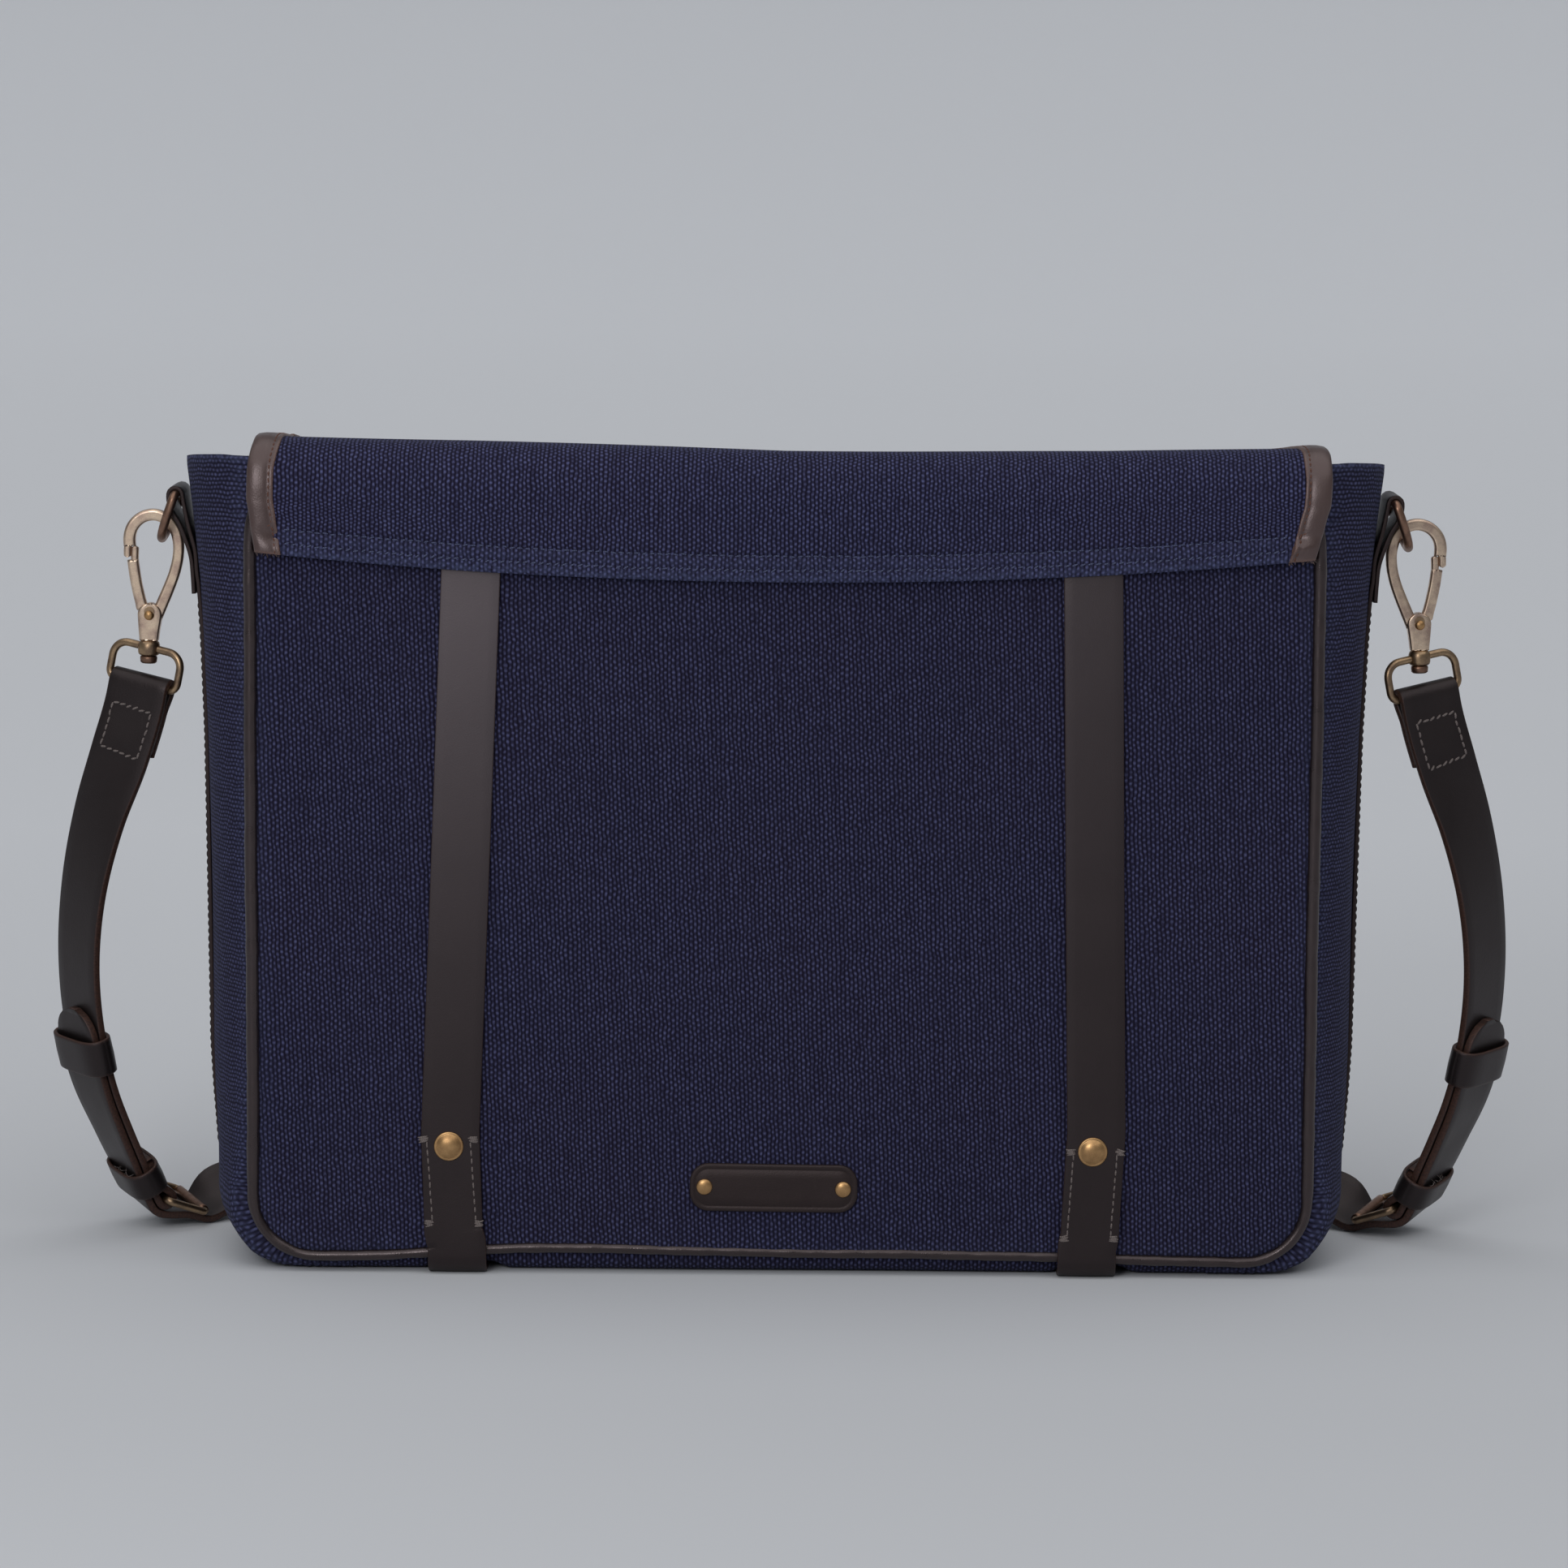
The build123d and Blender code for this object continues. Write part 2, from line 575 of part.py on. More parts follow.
with BuildPart() as side_tab_left:
    tab_foot = -(HALF_W + bulge_at(TAB_LOW) + TAB_T / 2 + 0.3)
    tab_head = BAR_X + TAB_FOLD_R
    with BuildSketch(Plane.XZ):
        with BuildLine():
            strip = Line((tab_foot, TAB_LOW), (tab_head, BAR_Z))
            fold = ThreePointArc(strip @ 1, (BAR_X, BAR_Z + TAB_FOLD_R), (BAR_X - TAB_FOLD_R, BAR_Z))
            slope = (tab_head - tab_foot) / (BAR_Z - TAB_LOW)
            lap_top = tab_head + slope * (281 - BAR_Z) - TAB_T - 0.05
            lap_low = tab_head + slope * (262 - BAR_Z) - TAB_T - 0.05
            Polyline(fold @ 1, (BAR_X - TAB_FOLD_R, BAR_Z - 1), (lap_top, 281), (lap_low, 262))
        trace(line_width=TAB_T)
    extrude(amount=TAB_W / 2, both=True)

ring_plane = Plane(
    origin=(BAR_X, 0, BAR_Z),
    x_dir=(0, 1, 0),
    z_dir=(cos(radians(RING_TILT)), 0, -sin(radians(RING_TILT))),
)

with BuildPart() as ring_left:
    with BuildLine(ring_plane) as ring_route:
        bar = Line((RING_CORNER - RING_HALF, 0), (RING_HALF - RING_CORNER, 0))
        turn = JernArc(bar @ 1, bar % 1, RING_CORNER, -90)
        side = Line(turn @ 1, turn @ 1 - turn % 1 * -(RING_SIDE - RING_CORNER))
        bow = JernArc(side @ 1, side % 1, RING_HALF, -180)
        back = Line(bow @ 1, bow @ 1 + bow % 1 * (RING_SIDE - RING_CORNER))
        JernArc(back @ 1, back % 1, RING_CORNER, -90)
    with BuildSketch(Plane(origin=bar @ 0, z_dir=bar % 0)):
        Circle(RING_WIRE_R)
    sweep(path=ring_route.wire())

# ---- swivel hook ------------------------------------------------------------------------
HOOK_TILT = 2.2
HOOK_FOOT = (-242.9, 0, 234.5)  # where the hook's body meets its swivel
hook_plane = Plane(
    origin=HOOK_FOOT,
    x_dir=(cos(radians(HOOK_TILT)), 0, -sin(radians(HOOK_TILT))),
    z_dir=(0, -1, 0),
)
hook_up = hook_plane.y_dir
swivel_plane = Plane(origin=HOOK_FOOT, x_dir=(0, 1, 0), z_dir=hook_up)
EYE_Y, EYE_R = 38.9, 9.75  # the eye's middle line
HOOK_BAR, HOOK_THICK = 2.9, 3.5
PIVOT_Y = 11.5
EYE_ANGLE = 17.0  # where the eye's straight sides leave its round top
GATE_TIP_GAP = 0.4
POST_R, POST_HOLE_R, POST_HEAD_R = 2.0, 2.1, 3.0
PIN_R = 1.0
SLOT_HALF = 1.8

eye_right = (EYE_R * cos(radians(EYE_ANGLE)), EYE_Y - EYE_R * sin(radians(EYE_ANGLE)))
eye_left = (-eye_right[0], eye_right[1])
side_run = (eye_right[1] - 13) / cos(radians(EYE_ANGLE))
side_foot = (eye_right[0] - side_run * sin(radians(EYE_ANGLE)), 13)
NOSE = 2.6  # the fixed hook runs on this far past the round top
nose_end = (eye_left[0] + NOSE * sin(radians(EYE_ANGLE)), eye_left[1] - NOSE * cos(radians(EYE_ANGLE)))
gate_tip = (
    nose_end[0] + GATE_TIP_GAP * sin(radians(EYE_ANGLE)),
    nose_end[1] - GATE_TIP_GAP * cos(radians(EYE_ANGLE)),
)

with BuildPart() as hook_left:
    with BuildSketch(hook_plane):
        with BuildLine():
            Line(side_foot, eye_right)
            ThreePointArc(eye_right, (0, EYE_Y + EYE_R), eye_left)
            Line(eye_left, nose_end)
        trace(line_width=HOOK_BAR)
    extrude(amount=HOOK_THICK / 2, both=True)
    with BuildSketch(hook_plane):
        with BuildLine():
            Polyline((-3.4, 1), (3.4, 1), (4.4, PIVOT_Y + 2.5), (-4.4, PIVOT_Y + 2.5), close=True)
        make_face()
        with Locations((0, PIVOT_Y + 1.5)):
            Circle(4.5)
    extrude(amount=3.1, both=True)
    with BuildSketch(hook_plane):
        with Locations((0, PIVOT_Y)):
            Circle(3.2)
        with Locations((-3.4, PIVOT_Y + 4)):
            Rectangle(9.3, 8)
    extrude(amount=SLOT_HALF, both=True, mode=Mode.SUBTRACT)
    with BuildSketch(hook_plane):
        with Locations((0, PIVOT_Y)):
            Circle(PIN_R)
    extrude(amount=4, both=True, mode=Mode.SUBTRACT)
    with BuildSketch(swivel_plane.offset(1.2)):
        Circle(POST_R)
    extrude(amount=-6.9)
    with BuildSketch(swivel_plane.offset(-5.6)):
        Circle(POST_HEAD_R)
    extrude(amount=-1.6)

with BuildPart() as gate_left:
    with BuildSketch(hook_plane):
        with BuildLine():
            Line(gate_tip, (-2.2, PIVOT_Y + 1))
        trace(line_width=HOOK_BAR - 0.3)
        with Locations((0, PIVOT_Y)):
            Circle(2.9)
            Circle(PIN_R + 0.06, mode=Mode.SUBTRACT)
    extrude(amount=1.5, both=True)
    with BuildSketch(hook_plane.offset(-0.2)):  # room for the spring beside the boss
        with Locations((0, PIVOT_Y)):
            Circle(2.4)
    extrude(amount=-2, mode=Mode.SUBTRACT)

with BuildPart() as gate_spring_left:
    with BuildSketch(hook_plane.offset(-0.4)):
        with Locations((0, PIVOT_Y)):
            Circle(2.0)
            Circle(PIN_R + 0.15, mode=Mode.SUBTRACT)
    extrude(amount=-1.3)

with BuildPart() as gate_pin_left:
    with BuildSketch(hook_plane.offset(-3.1)):
        with Locations((0, PIVOT_Y)):
            Circle(PIN_R)
    extrude(amount=6.2)
    for face, way in ((3.1, 0.5), (-3.1, -0.5)):
        with BuildSketch(hook_plane.offset(face)):
            with Locations((0, PIVOT_Y)):
                Circle(1.9)
        extrude(amount=way)

# ---- shoulder strap ----------------------------------------------------------------------
# Each station is a point on the strap's middle and the way its width lies there:
# yaw turns the width's near end away from +X towards -Y, and lean turns it down.
LOOP_TILT = 11.0
LOOP_HEIGHT = 14.5
LOOP_HALF = SHOULDER_W / 2 + 0.8 + WIRE_R
TOP_YAW = 20.0
FOLD = WIRE_R + 0.05 + SHOULDER_T / 2


def width_way(yaw, lean):
    """Unit vector along the strap's width."""
    flat = cos(radians(lean))
    return Vector(flat * cos(radians(yaw)), -flat * sin(radians(yaw)), -sin(radians(lean)))


def strap_plane(point, along, yaw, lean):
    """Section of the strap: x along its width, y out of its outer face, z along it."""
    return Plane(origin=point, x_dir=width_way(yaw, lean), z_dir=along)


loop_along = Vector(-sin(radians(LOOP_TILT)), 0, -cos(radians(LOOP_TILT)))
loop_top = Vector(HOOK_FOOT) - hook_up * 2.5
loop_plane = strap_plane(loop_top, loop_along, TOP_YAW, 0)
loop_bar_plane = strap_plane(loop_top + loop_along * LOOP_HEIGHT, loop_along, TOP_YAW, 0)


def flat_plane(plane):
    """The same place with x along the width and y along the strap, for frames."""
    return Plane(origin=plane.origin, x_dir=plane.x_dir, z_dir=-plane.y_dir)


def side_plane(plane):
    """The same place seen from the strap's edge: x out of its face and y along it."""
    return Plane(origin=plane.origin, x_dir=plane.y_dir, z_dir=plane.x_dir)


with BuildPart() as swivel_loop_left:
    add(wire_frame(flat_plane(loop_plane), LOOP_HALF, LOOP_HEIGHT, WIRE_R, 2.0))
    with BuildSketch(swivel_plane.offset(0.3)):
        Circle(4.2)
    extrude(amount=-5.5)
    with BuildSketch(swivel_plane.offset(1)):
        Circle(POST_HOLE_R)
    extrude(amount=-9, mode=Mode.SUBTRACT)

strap_start = loop_bar_plane.origin + loop_bar_plane.y_dir * FOLD
HEEL = Vector(-246.5, 31.0, 13.6)  # middle of the buckle's heel bar
BUCKLE_ALONG = Vector(0.79, 0.50, -0.36).normalized()
BUCKLE_YAW, BUCKLE_LEAN = 54.0, 10.0
BUCKLE_TURN = 42.0  # the strap comes down this much steeper than the buckle lies
heel_plane = strap_plane(HEEL, BUCKLE_ALONG, BUCKLE_YAW, BUCKLE_LEAN)


def heel_turned(turn, out):
    """Section square to the strap as it bends over the heel bar, out from the bar's middle."""
    c, s = cos(radians(turn)), sin(radians(turn))
    way = BUCKLE_ALONG * c + heel_plane.y_dir * s
    normal = heel_plane.y_dir * c - BUCKLE_ALONG * s
    return Plane(origin=HEEL + normal * out, x_dir=heel_plane.x_dir, z_dir=way)


end_plane = heel_turned(BUCKLE_TURN, FOLD)
END_RUN = 17.0  # straight stretch above the heel bar, for the fixed keeper
end_run_top = end_plane.origin - end_plane.z_dir * END_RUN
TOE_REACH = 17.0  # heel bar to toe bar

HOOK_SIDE_STATIONS = [  # x, y, z, yaw, lean from the swivel loop down to the buckle
    (-253.1, -2.6, 191, 22, 0),
    (-262.5, -1.0, 168, 34, 0),
    (-269.0, 3.0, 138, 44, 0),
    (-272.0, 7.5, 108, 48, 0),
    (-272.0, 10.5, 90, 49, 0),
    (-265.8, 17.0, 57, 51, 2),
    (-260.0, 21.0, 41, 53, 6),
    (*end_run_top, 55, 8),
]
FRONT_STATIONS = [  # from the buckle round in front of the bag to its middle
    (-221.5, 49.0, 10.9, 55, 46),
    (-208.0, 62.0, 12.9, 50, 80),
    (-187.0, 84.0, 12.6, 45, 90),
    (-152.0, 113.0, 12.6, 45, 90),
    (-106.0, 137.0, 12.6, 45, 90),
    (-55.0, 150.0, 12.6, 45, 90),
]


def planes_along(stations, first, last):
    """Section planes for stations between two given planes, each square to its route."""
    points = [first.origin] + [Vector(s[:3]) for s in stations] + [last.origin]
    planes = [first]
    for i, (x, y, z, yaw, lean) in enumerate(stations, start=1):
        along = (points[i + 1] - points[i]).normalized() + (points[i] - points[i - 1]).normalized()
        planes.append(strap_plane(points[i], along.normalized(), yaw, lean))
    return planes + [last]


def ribbon(planes):
    """One layer of strap through section planes."""
    with BuildPart() as layer:
        for plane in planes:
            with BuildSketch(plane):
                Rectangle(SHOULDER_W, SHOULDER_T)
        loft(ruled=True)
    return layer.part


start_plane = Plane(origin=strap_start, x_dir=loop_bar_plane.x_dir, z_dir=loop_along)
hook_side_planes = planes_along(HOOK_SIDE_STATIONS, start_plane, end_plane)

with BuildPart() as strap_end_left:
    add(ribbon(hook_side_planes))
    with BuildSketch(side_plane(start_plane)):  # folded round the swivel loop
        with BuildLine():
            turn = ThreePointArc((0, 0), (-FOLD, -FOLD), (-2 * FOLD, 0))
            Polyline(turn @ 1, (-2 * FOLD, 2), (-LAYER, 10), (-LAYER, 24))
        trace(line_width=SHOULDER_T)
    extrude(amount=SHOULDER_W / 2, both=True)
    with BuildSketch(side_plane(end_plane)):  # folded round the buckle's heel bar
        with BuildLine():
            turn = ThreePointArc((0, 0), (-FOLD, FOLD), (-2 * FOLD, 0))
            Polyline(turn @ 1, (-2 * FOLD, -1), (-LAYER, -6), (-LAYER, -END_RUN))
        trace(line_width=SHOULDER_T)
    extrude(amount=SHOULDER_W / 2, both=True)
    with BuildSketch(flat_plane(end_plane)):  # slot for the prong
        SlotOverall(20, 5.0, rotation=90)
    extrude(amount=10, both=True, mode=Mode.SUBTRACT)



def under_toe(past):
    """Section of the strap where it lies under the toe bar, or a little past it."""
    under = HEEL + BUCKLE_ALONG * (TOE_REACH + past) + heel_plane.y_dir * (FOLD + 0.1)
    return Plane(origin=under, x_dir=heel_plane.x_dir, z_dir=BUCKLE_ALONG)


middle_plane = strap_plane(Vector(0, 154, 12.6), Vector(1, 0, 0), 45, 90)
TONGUE_FIRST = 5  # the tongue starts at this section of the hook side
tongue_planes = [
    Plane(origin=p.origin + p.y_dir * LAYER, x_dir=p.x_dir, z_dir=p.z_dir)
    for p in hook_side_planes[TONGUE_FIRST:]
]
tongue_planes += [heel_turned(turn, FOLD + LAYER) for turn in (BUCKLE_TURN / 2, 0)]
tongue_planes.append(under_toe(0))
front_planes = [under_toe(0)] + planes_along(FRONT_STATIONS, under_toe(3), middle_plane)

with BuildPart() as center_strap:
    add(ribbon(tongue_planes))
    add(ribbon(front_planes))
    with BuildSketch(flat_plane(heel_plane)):  # the hole that the prong is through
        with Locations((0, TOE_REACH - 5)):
            SlotOverall(16, 5.0, rotation=90)
    extrude(amount=-12, mode=Mode.SUBTRACT)
    for plane in tongue_planes[1:3]:  # spare holes
        with BuildSketch(flat_plane(plane)):
            Circle(1.8)
        extrude(amount=4, both=True, mode=Mode.SUBTRACT)
    mirror(about=Plane.YZ)

with BuildPart() as strap_buckle_left:
    add(wire_frame(flat_plane(heel_plane), LOOP_HALF, TOE_REACH, WIRE_R, 2.0))

with BuildPart() as strap_prong_left:
    with BuildSketch(side_plane(heel_plane)):
        Circle(WIRE_R + 1.3)
        Circle(WIRE_R + 0.1, mode=Mode.SUBTRACT)
    extrude(amount=1.6, both=True)
    with BuildSketch(side_plane(heel_plane)):
        with BuildLine():
            Line((WIRE_R + 0.9, 0.6), (FOLD + SHOULDER_T / 2 + 0.6, TOE_REACH - 1.4))
        trace(line_width=1.9)
    extrude(amount=0.95, both=True)

keeper_seat = hook_side_planes[TONGUE_FIRST]
keeper_next = hook_side_planes[TONGUE_FIRST + 1]
SLIDE_WAY = (keeper_next.origin - keeper_seat.origin).normalized()
SLIDE_SHARE = 0.52  # how far down the straight stretch the sliding keeper rests
slide_plane = strap_plane(
    keeper_seat.origin + (keeper_next.origin - keeper_seat.origin) * SLIDE_SHARE, SLIDE_WAY, 50, 1
)
fixed_plane = Plane(
    origin=end_plane.origin - end_plane.z_dir * 11, x_dir=end_plane.x_dir, z_dir=end_plane.z_dir
)
KEEPER_LENGTH = 13.0
FIXED_LENGTH = 10.0
KEEPER_ROOM = 0.9

with BuildPart() as sliding_keeper_left:
    add(
        strap_keeper(
            slide_plane,
            SHOULDER_W + 2 * KEEPER_ROOM,
            -SHOULDER_T / 2 - KEEPER_ROOM,
            LAYER + SHOULDER_T / 2 + KEEPER_ROOM,
            KEEPER_LENGTH,
        )
    )

with BuildPart() as fixed_keeper_left:
    add(
        strap_keeper(
            fixed_plane,
            SHOULDER_W + 2 * KEEPER_ROOM,
            -LAYER - SHOULDER_T / 2 - KEEPER_ROOM,
            LAYER + SHOULDER_T / 2 + 2 * KEEPER_ROOM,
            FIXED_LENGTH,
        )
    )

# ---- labels and files --------------------------------------------------------------------
whole = {
    "back_panel": back_panel,
    "front_panel": front_panel,
    "base_panel": base_panel,
    "base_board": base_board,
    "back_piping": back_piping,
    "front_piping": front_piping,
    "lining": lining,
    "laptop_sleeve": laptop_sleeve,
    "inner_pocket": inner_pocket,
    "wrap_strap_rivets": wrap_strap_rivets,
    "label_patch": label_patch,
    "label_rivets": label_rivets,
    "flap_rear_panel": flap_rear_panel,
    "flap_rear_bindings": flap_rear_bindings,
    "flap_top_panel": flap_top_panel,
    "flap_top_bindings": flap_top_bindings,
    "flap_front_panel": flap_front_panel,
    "flap_front_binding": flap_front_binding,
    "closure_keepers": closure_keepers,
    "closure_rivets": closure_rivets,
    "snap_sockets": snap_sockets,
    "snap_studs": snap_studs,
    "center_strap": center_strap,
}
handed = {
    "side_gusset": side_gusset_left,
    "wrap_strap": wrap_strap_left,
    "side_tab": side_tab_left,
    "closure_strap": closure_strap_left,
    "closure_buckle": closure_buckle_left,
    "closure_tongue": closure_tongue_left,
    "closure_prong": closure_prong_left,
    "ring": ring_left,
    "hook": hook_left,
    "gate": gate_left,
    "gate_spring": gate_spring_left,
    "gate_pin": gate_pin_left,
    "swivel_loop": swivel_loop_left,
    "strap_end": strap_end_left,
    "strap_buckle": strap_buckle_left,
    "strap_prong": strap_prong_left,
    "sliding_keeper": sliding_keeper_left,
    "fixed_keeper": fixed_keeper_left,
}

for name, piece in whole.items():
    piece.part.label = name
    export_step(piece.part, f"parts/{name}.step")

for stem, left in handed.items():
    left.part.label = stem + "_left"
    export_step(left.part, f"parts/{stem}_left.step")
    with BuildPart() as right:
        mirror(left.part, about=Plane.YZ)
    right.part.label = stem + "_right"
    export_step(right.part, f"parts/{stem}_right.step")
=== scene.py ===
"""Looks of the canvas messenger bag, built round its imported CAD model.

Shapes are worked out in millimetres and written to Blender in metres, in the model's frame:
+X is right seen from the back panel, -Y is out of the back panel and +Z is up.
"""

import math

import bpy
import numpy as np
from mathutils import Matrix, Vector


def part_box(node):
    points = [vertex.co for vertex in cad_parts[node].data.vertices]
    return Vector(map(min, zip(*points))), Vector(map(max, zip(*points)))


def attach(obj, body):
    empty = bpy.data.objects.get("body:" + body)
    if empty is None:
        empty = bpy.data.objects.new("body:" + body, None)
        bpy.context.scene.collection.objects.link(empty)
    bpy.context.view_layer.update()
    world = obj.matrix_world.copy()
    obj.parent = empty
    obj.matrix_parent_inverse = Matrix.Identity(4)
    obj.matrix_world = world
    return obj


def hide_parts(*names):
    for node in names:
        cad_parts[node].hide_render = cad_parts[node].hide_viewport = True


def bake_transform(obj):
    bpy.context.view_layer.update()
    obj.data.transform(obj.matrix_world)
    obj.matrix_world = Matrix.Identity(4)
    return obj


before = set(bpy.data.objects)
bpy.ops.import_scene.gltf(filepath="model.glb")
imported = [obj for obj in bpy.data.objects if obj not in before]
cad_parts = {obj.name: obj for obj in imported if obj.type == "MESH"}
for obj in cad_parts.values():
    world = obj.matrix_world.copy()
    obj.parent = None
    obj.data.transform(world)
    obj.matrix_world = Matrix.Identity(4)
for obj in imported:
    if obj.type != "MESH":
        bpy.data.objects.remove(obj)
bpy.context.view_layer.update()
MM = 0.001
rng = np.random.default_rng(11)
SIDES = (("left", -1), ("right", 1))


def span(node):
    """Lowest and highest corner of a CAD node, in millimetres."""
    low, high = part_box(node)
    return np.array(low) / MM, np.array(high) / MM


# ---- sizes, from the frame where it has them -------------------------------------------
panel_low, panel_high = span("back_panel")
BACK_Y = panel_low[1]  # outer face of the back panel
FRONT_Y = span("front_panel")[1][1]
BODY_TOP = panel_high[2]
PIPING_R = 2.0
HALF_W = span("back_piping")[1][0] - PIPING_R + 1.3  # middle of the side seams
CORNER_R = 23.5
SEAM_Z = 6.0
CORNER_X, CORNER_Z = HALF_W - CORNER_R, SEAM_Z + CORNER_R
GUSSET_HALF = 47.6
GUSSET_TAIL, GUSSET_STEP = 14.0, 1.5  # how far a gusset runs on under the base, and its rows
BULGE_LOW, BULGE_GAIN, BULGE_BASE = 18.7, 9.5, 2.8
CLOTH_T, GUSSET_T, BASE_T = 2.2, 1.8, 1.6
STRAP_W, STRAP_T = 22.0, 2.2
SHOULDER_W, SHOULDER_T = 24.5, 3.0
SKIN_GAP = 0.35  # how far the straps on the back stand off the cloth
STRAP_X = (span("wrap_strap_right")[0][0] + span("wrap_strap_right")[1][0]) / 2


# ---- mesh helpers ----------------------------------------------------------------------


def unit(v):
    """Vectors scaled to length 1."""
    v = np.asarray(v, float)
    return v / np.linalg.norm(v, axis=-1, keepdims=True)


def ease(t):
    """A smooth step from 0 to 1."""
    t = np.clip(t, 0, 1)
    return t * t * (3 - 2 * t)


def lengths(route):
    """Distance along a route at each of its points."""
    steps = np.linalg.norm(np.diff(route, axis=0), axis=1)
    return np.concatenate([[0], np.cumsum(steps)])


def hump(x, width, power=2):
    """1 where x is 0, falling away to 0 past the width on both sides."""
    return np.exp(-((x / width) ** power))


def grid(*parts):
    """Numbers and arrays, spread to one shape and stacked into points or a map."""
    return np.stack(np.broadcast_arrays(*parts), -1)


def resample(route, step, *others):
    """The route, and values along it, at even steps."""
    route = np.asarray(route, float)
    run = lengths(route)
    at = np.linspace(0, run[-1], max(2, int(round(run[-1] / step)) + 1))
    made = [
        grid(*(np.interp(at, run, c) for c in np.asarray(v, float).T)) for v in (route, *others)
    ]
    return made if others else made[0]


def curve_through(points, step, *others):
    """A smooth route through points, with values that go with them, at even steps."""
    stack = np.hstack([np.asarray(v, float) for v in (points, *others)])
    knots = lengths(np.asarray(points, float))
    slopes = np.gradient(stack, knots, axis=0)
    fine = []
    for i in range(len(knots) - 1):
        span_i = knots[i + 1] - knots[i]
        t = np.linspace(0, 1, max(3, int(span_i / step * 2)), endpoint=False)[:, None]
        fine.append(
            (2 * t**3 - 3 * t**2 + 1) * stack[i]
            + (t**3 - 2 * t**2 + t) * span_i * slopes[i]
            + (3 * t**2 - 2 * t**3) * stack[i + 1]
            + (t**3 - t**2) * span_i * slopes[i + 1]
        )
    fine = np.vstack([*fine, stack[-1:]])
    widths = np.cumsum([3] + [np.shape(v)[1] for v in others])
    parts = np.split(fine, widths[:-1], axis=1)
    return resample(parts[0], step, *parts[1:])


def filleted(points, radius, step):
    """A route of straight runs with every corner rounded, at even steps."""
    points = [np.asarray(p, float) for p in points]
    fine = [points[0]]
    for before, corner, after in zip(points, points[1:], points[2:]):
        a, b = unit(before - corner), unit(after - corner)
        reach = min(
            radius / math.tan(math.acos(np.clip(a @ b, -1, 1)) / 2),
            0.49 * np.linalg.norm(before - corner),
            0.49 * np.linalg.norm(after - corner),
        )
        first, last = corner + a * reach, corner + b * reach
        for t in np.linspace(0, 1, 9):
            fine.append((1 - t) ** 2 * first + 2 * t * (1 - t) * corner + t**2 * last)
    return resample(np.array([*fine, points[-1]]), step)


def arc(centre, radius, start, end, count):
    """Points round an arc in a plane, angles in degrees."""
    turn = np.radians(np.linspace(start, end, count))
    return grid(centre[0] + radius * np.cos(turn), centre[1] + radius * np.sin(turn))


def grid_faces(rows, cols, first=0, around=False, flip=False):
    """Quads of a grid of points, row by row. around joins the last column to the first."""
    r = np.arange(rows - 1)[:, None] * cols
    c = np.arange(cols if around else cols - 1)[None, :]
    n = (c + 1) % cols
    quads = np.stack([r + c, r + n, r + cols + n, r + cols + c], -1).reshape(-1, 4) + first
    return (quads[:, ::-1] if flip else quads).tolist()


def ends_of(rows, cols, first=0):
    """The two faces that close a tube of points at its ends."""
    last = first + (rows - 1) * cols
    return [list(range(first, first + cols))[::-1], list(range(last, last + cols))]


def joined(rows, cols):
    """Quads from a tube's last ring of points back to its first."""
    last = (rows - 1) * cols
    return [[last + i, last + (i + 1) % cols, (i + 1) % cols, i] for i in range(cols)]


def add_mesh(name, points, faces, material, uv=None, fields=None):
    """A smooth mesh object from points in millimetres, with a map and named values per point."""
    mesh = bpy.data.meshes.new(name)
    mesh.from_pydata((np.asarray(points) * MM).tolist(), [], faces)
    mesh.shade_smooth()
    if uv is not None:
        corner = np.empty(len(mesh.loops), int)
        mesh.loops.foreach_get("vertex_index", corner)
        layer = mesh.uv_layers.new(name="Cloth")
        layer.data.foreach_set("uv", np.asarray(uv, float)[corner].astype(np.float32).ravel())
    for field, values in (fields or {}).items():
        attribute = mesh.attributes.new(field, "FLOAT", "POINT")
        attribute.data.foreach_set("value", np.asarray(values, np.float32).ravel())
    mesh.materials.append(material)
    made = bpy.data.objects.new(name, mesh)
    bpy.context.scene.collection.objects.link(made)
    return made


def sheet(name, patches, material, thickness, flip=False):
    """One cloth sheet of grids. A patch is (points, map, wear), each rows by columns."""
    points, uv, wear, faces, first = [], [], [], [], 0
    for patch_points, patch_uv, patch_wear in patches:
        rows, cols = patch_points.shape[:2]
        faces += grid_faces(rows, cols, first, flip=flip)
        points.append(patch_points.reshape(-1, 3))
        uv.append(patch_uv.reshape(-1, 2))
        wear.append(np.broadcast_to(patch_wear, (rows, cols)).reshape(-1))
        first += rows * cols
    made = add_mesh(
        name, np.vstack(points), faces, material, np.vstack(uv), {"wear": np.concatenate(wear)},
    )
    solid = made.modifiers.new("Thickness", "SOLIDIFY")
    solid.thickness = thickness * MM
    solid.offset = -1  # behind the face that is seen
    return made


def put(piece, body, slot, *nodes):
    """Rides a piece on its body, in place of the CAD nodes that it shows. Its slot is not used."""
    if nodes:
        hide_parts(*nodes)
    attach(piece, body)
    return piece


def band_ring(width, thickness, soft):
    """Cross-section of a strap: points (across, out) and how far each is on a raw edge."""
    w, t, r = width / 2, thickness / 2, soft
    across = np.linspace(r - w, w - r, 7)
    top = [(a, t, 0.0) for a in across]
    right = [
        (w - 0.3 * r, t - 0.3 * r, 0.7), (w, t - r, 1.0), (w, r - t, 1.0),
        (w - 0.3 * r, 0.3 * r - t, 0.7),
    ]
    bottom = [(a, -t, 0.0) for a in across[::-1]]
    left = [(-a, -b, e) for a, b, e in right]
    return np.array(top + right + bottom + left)


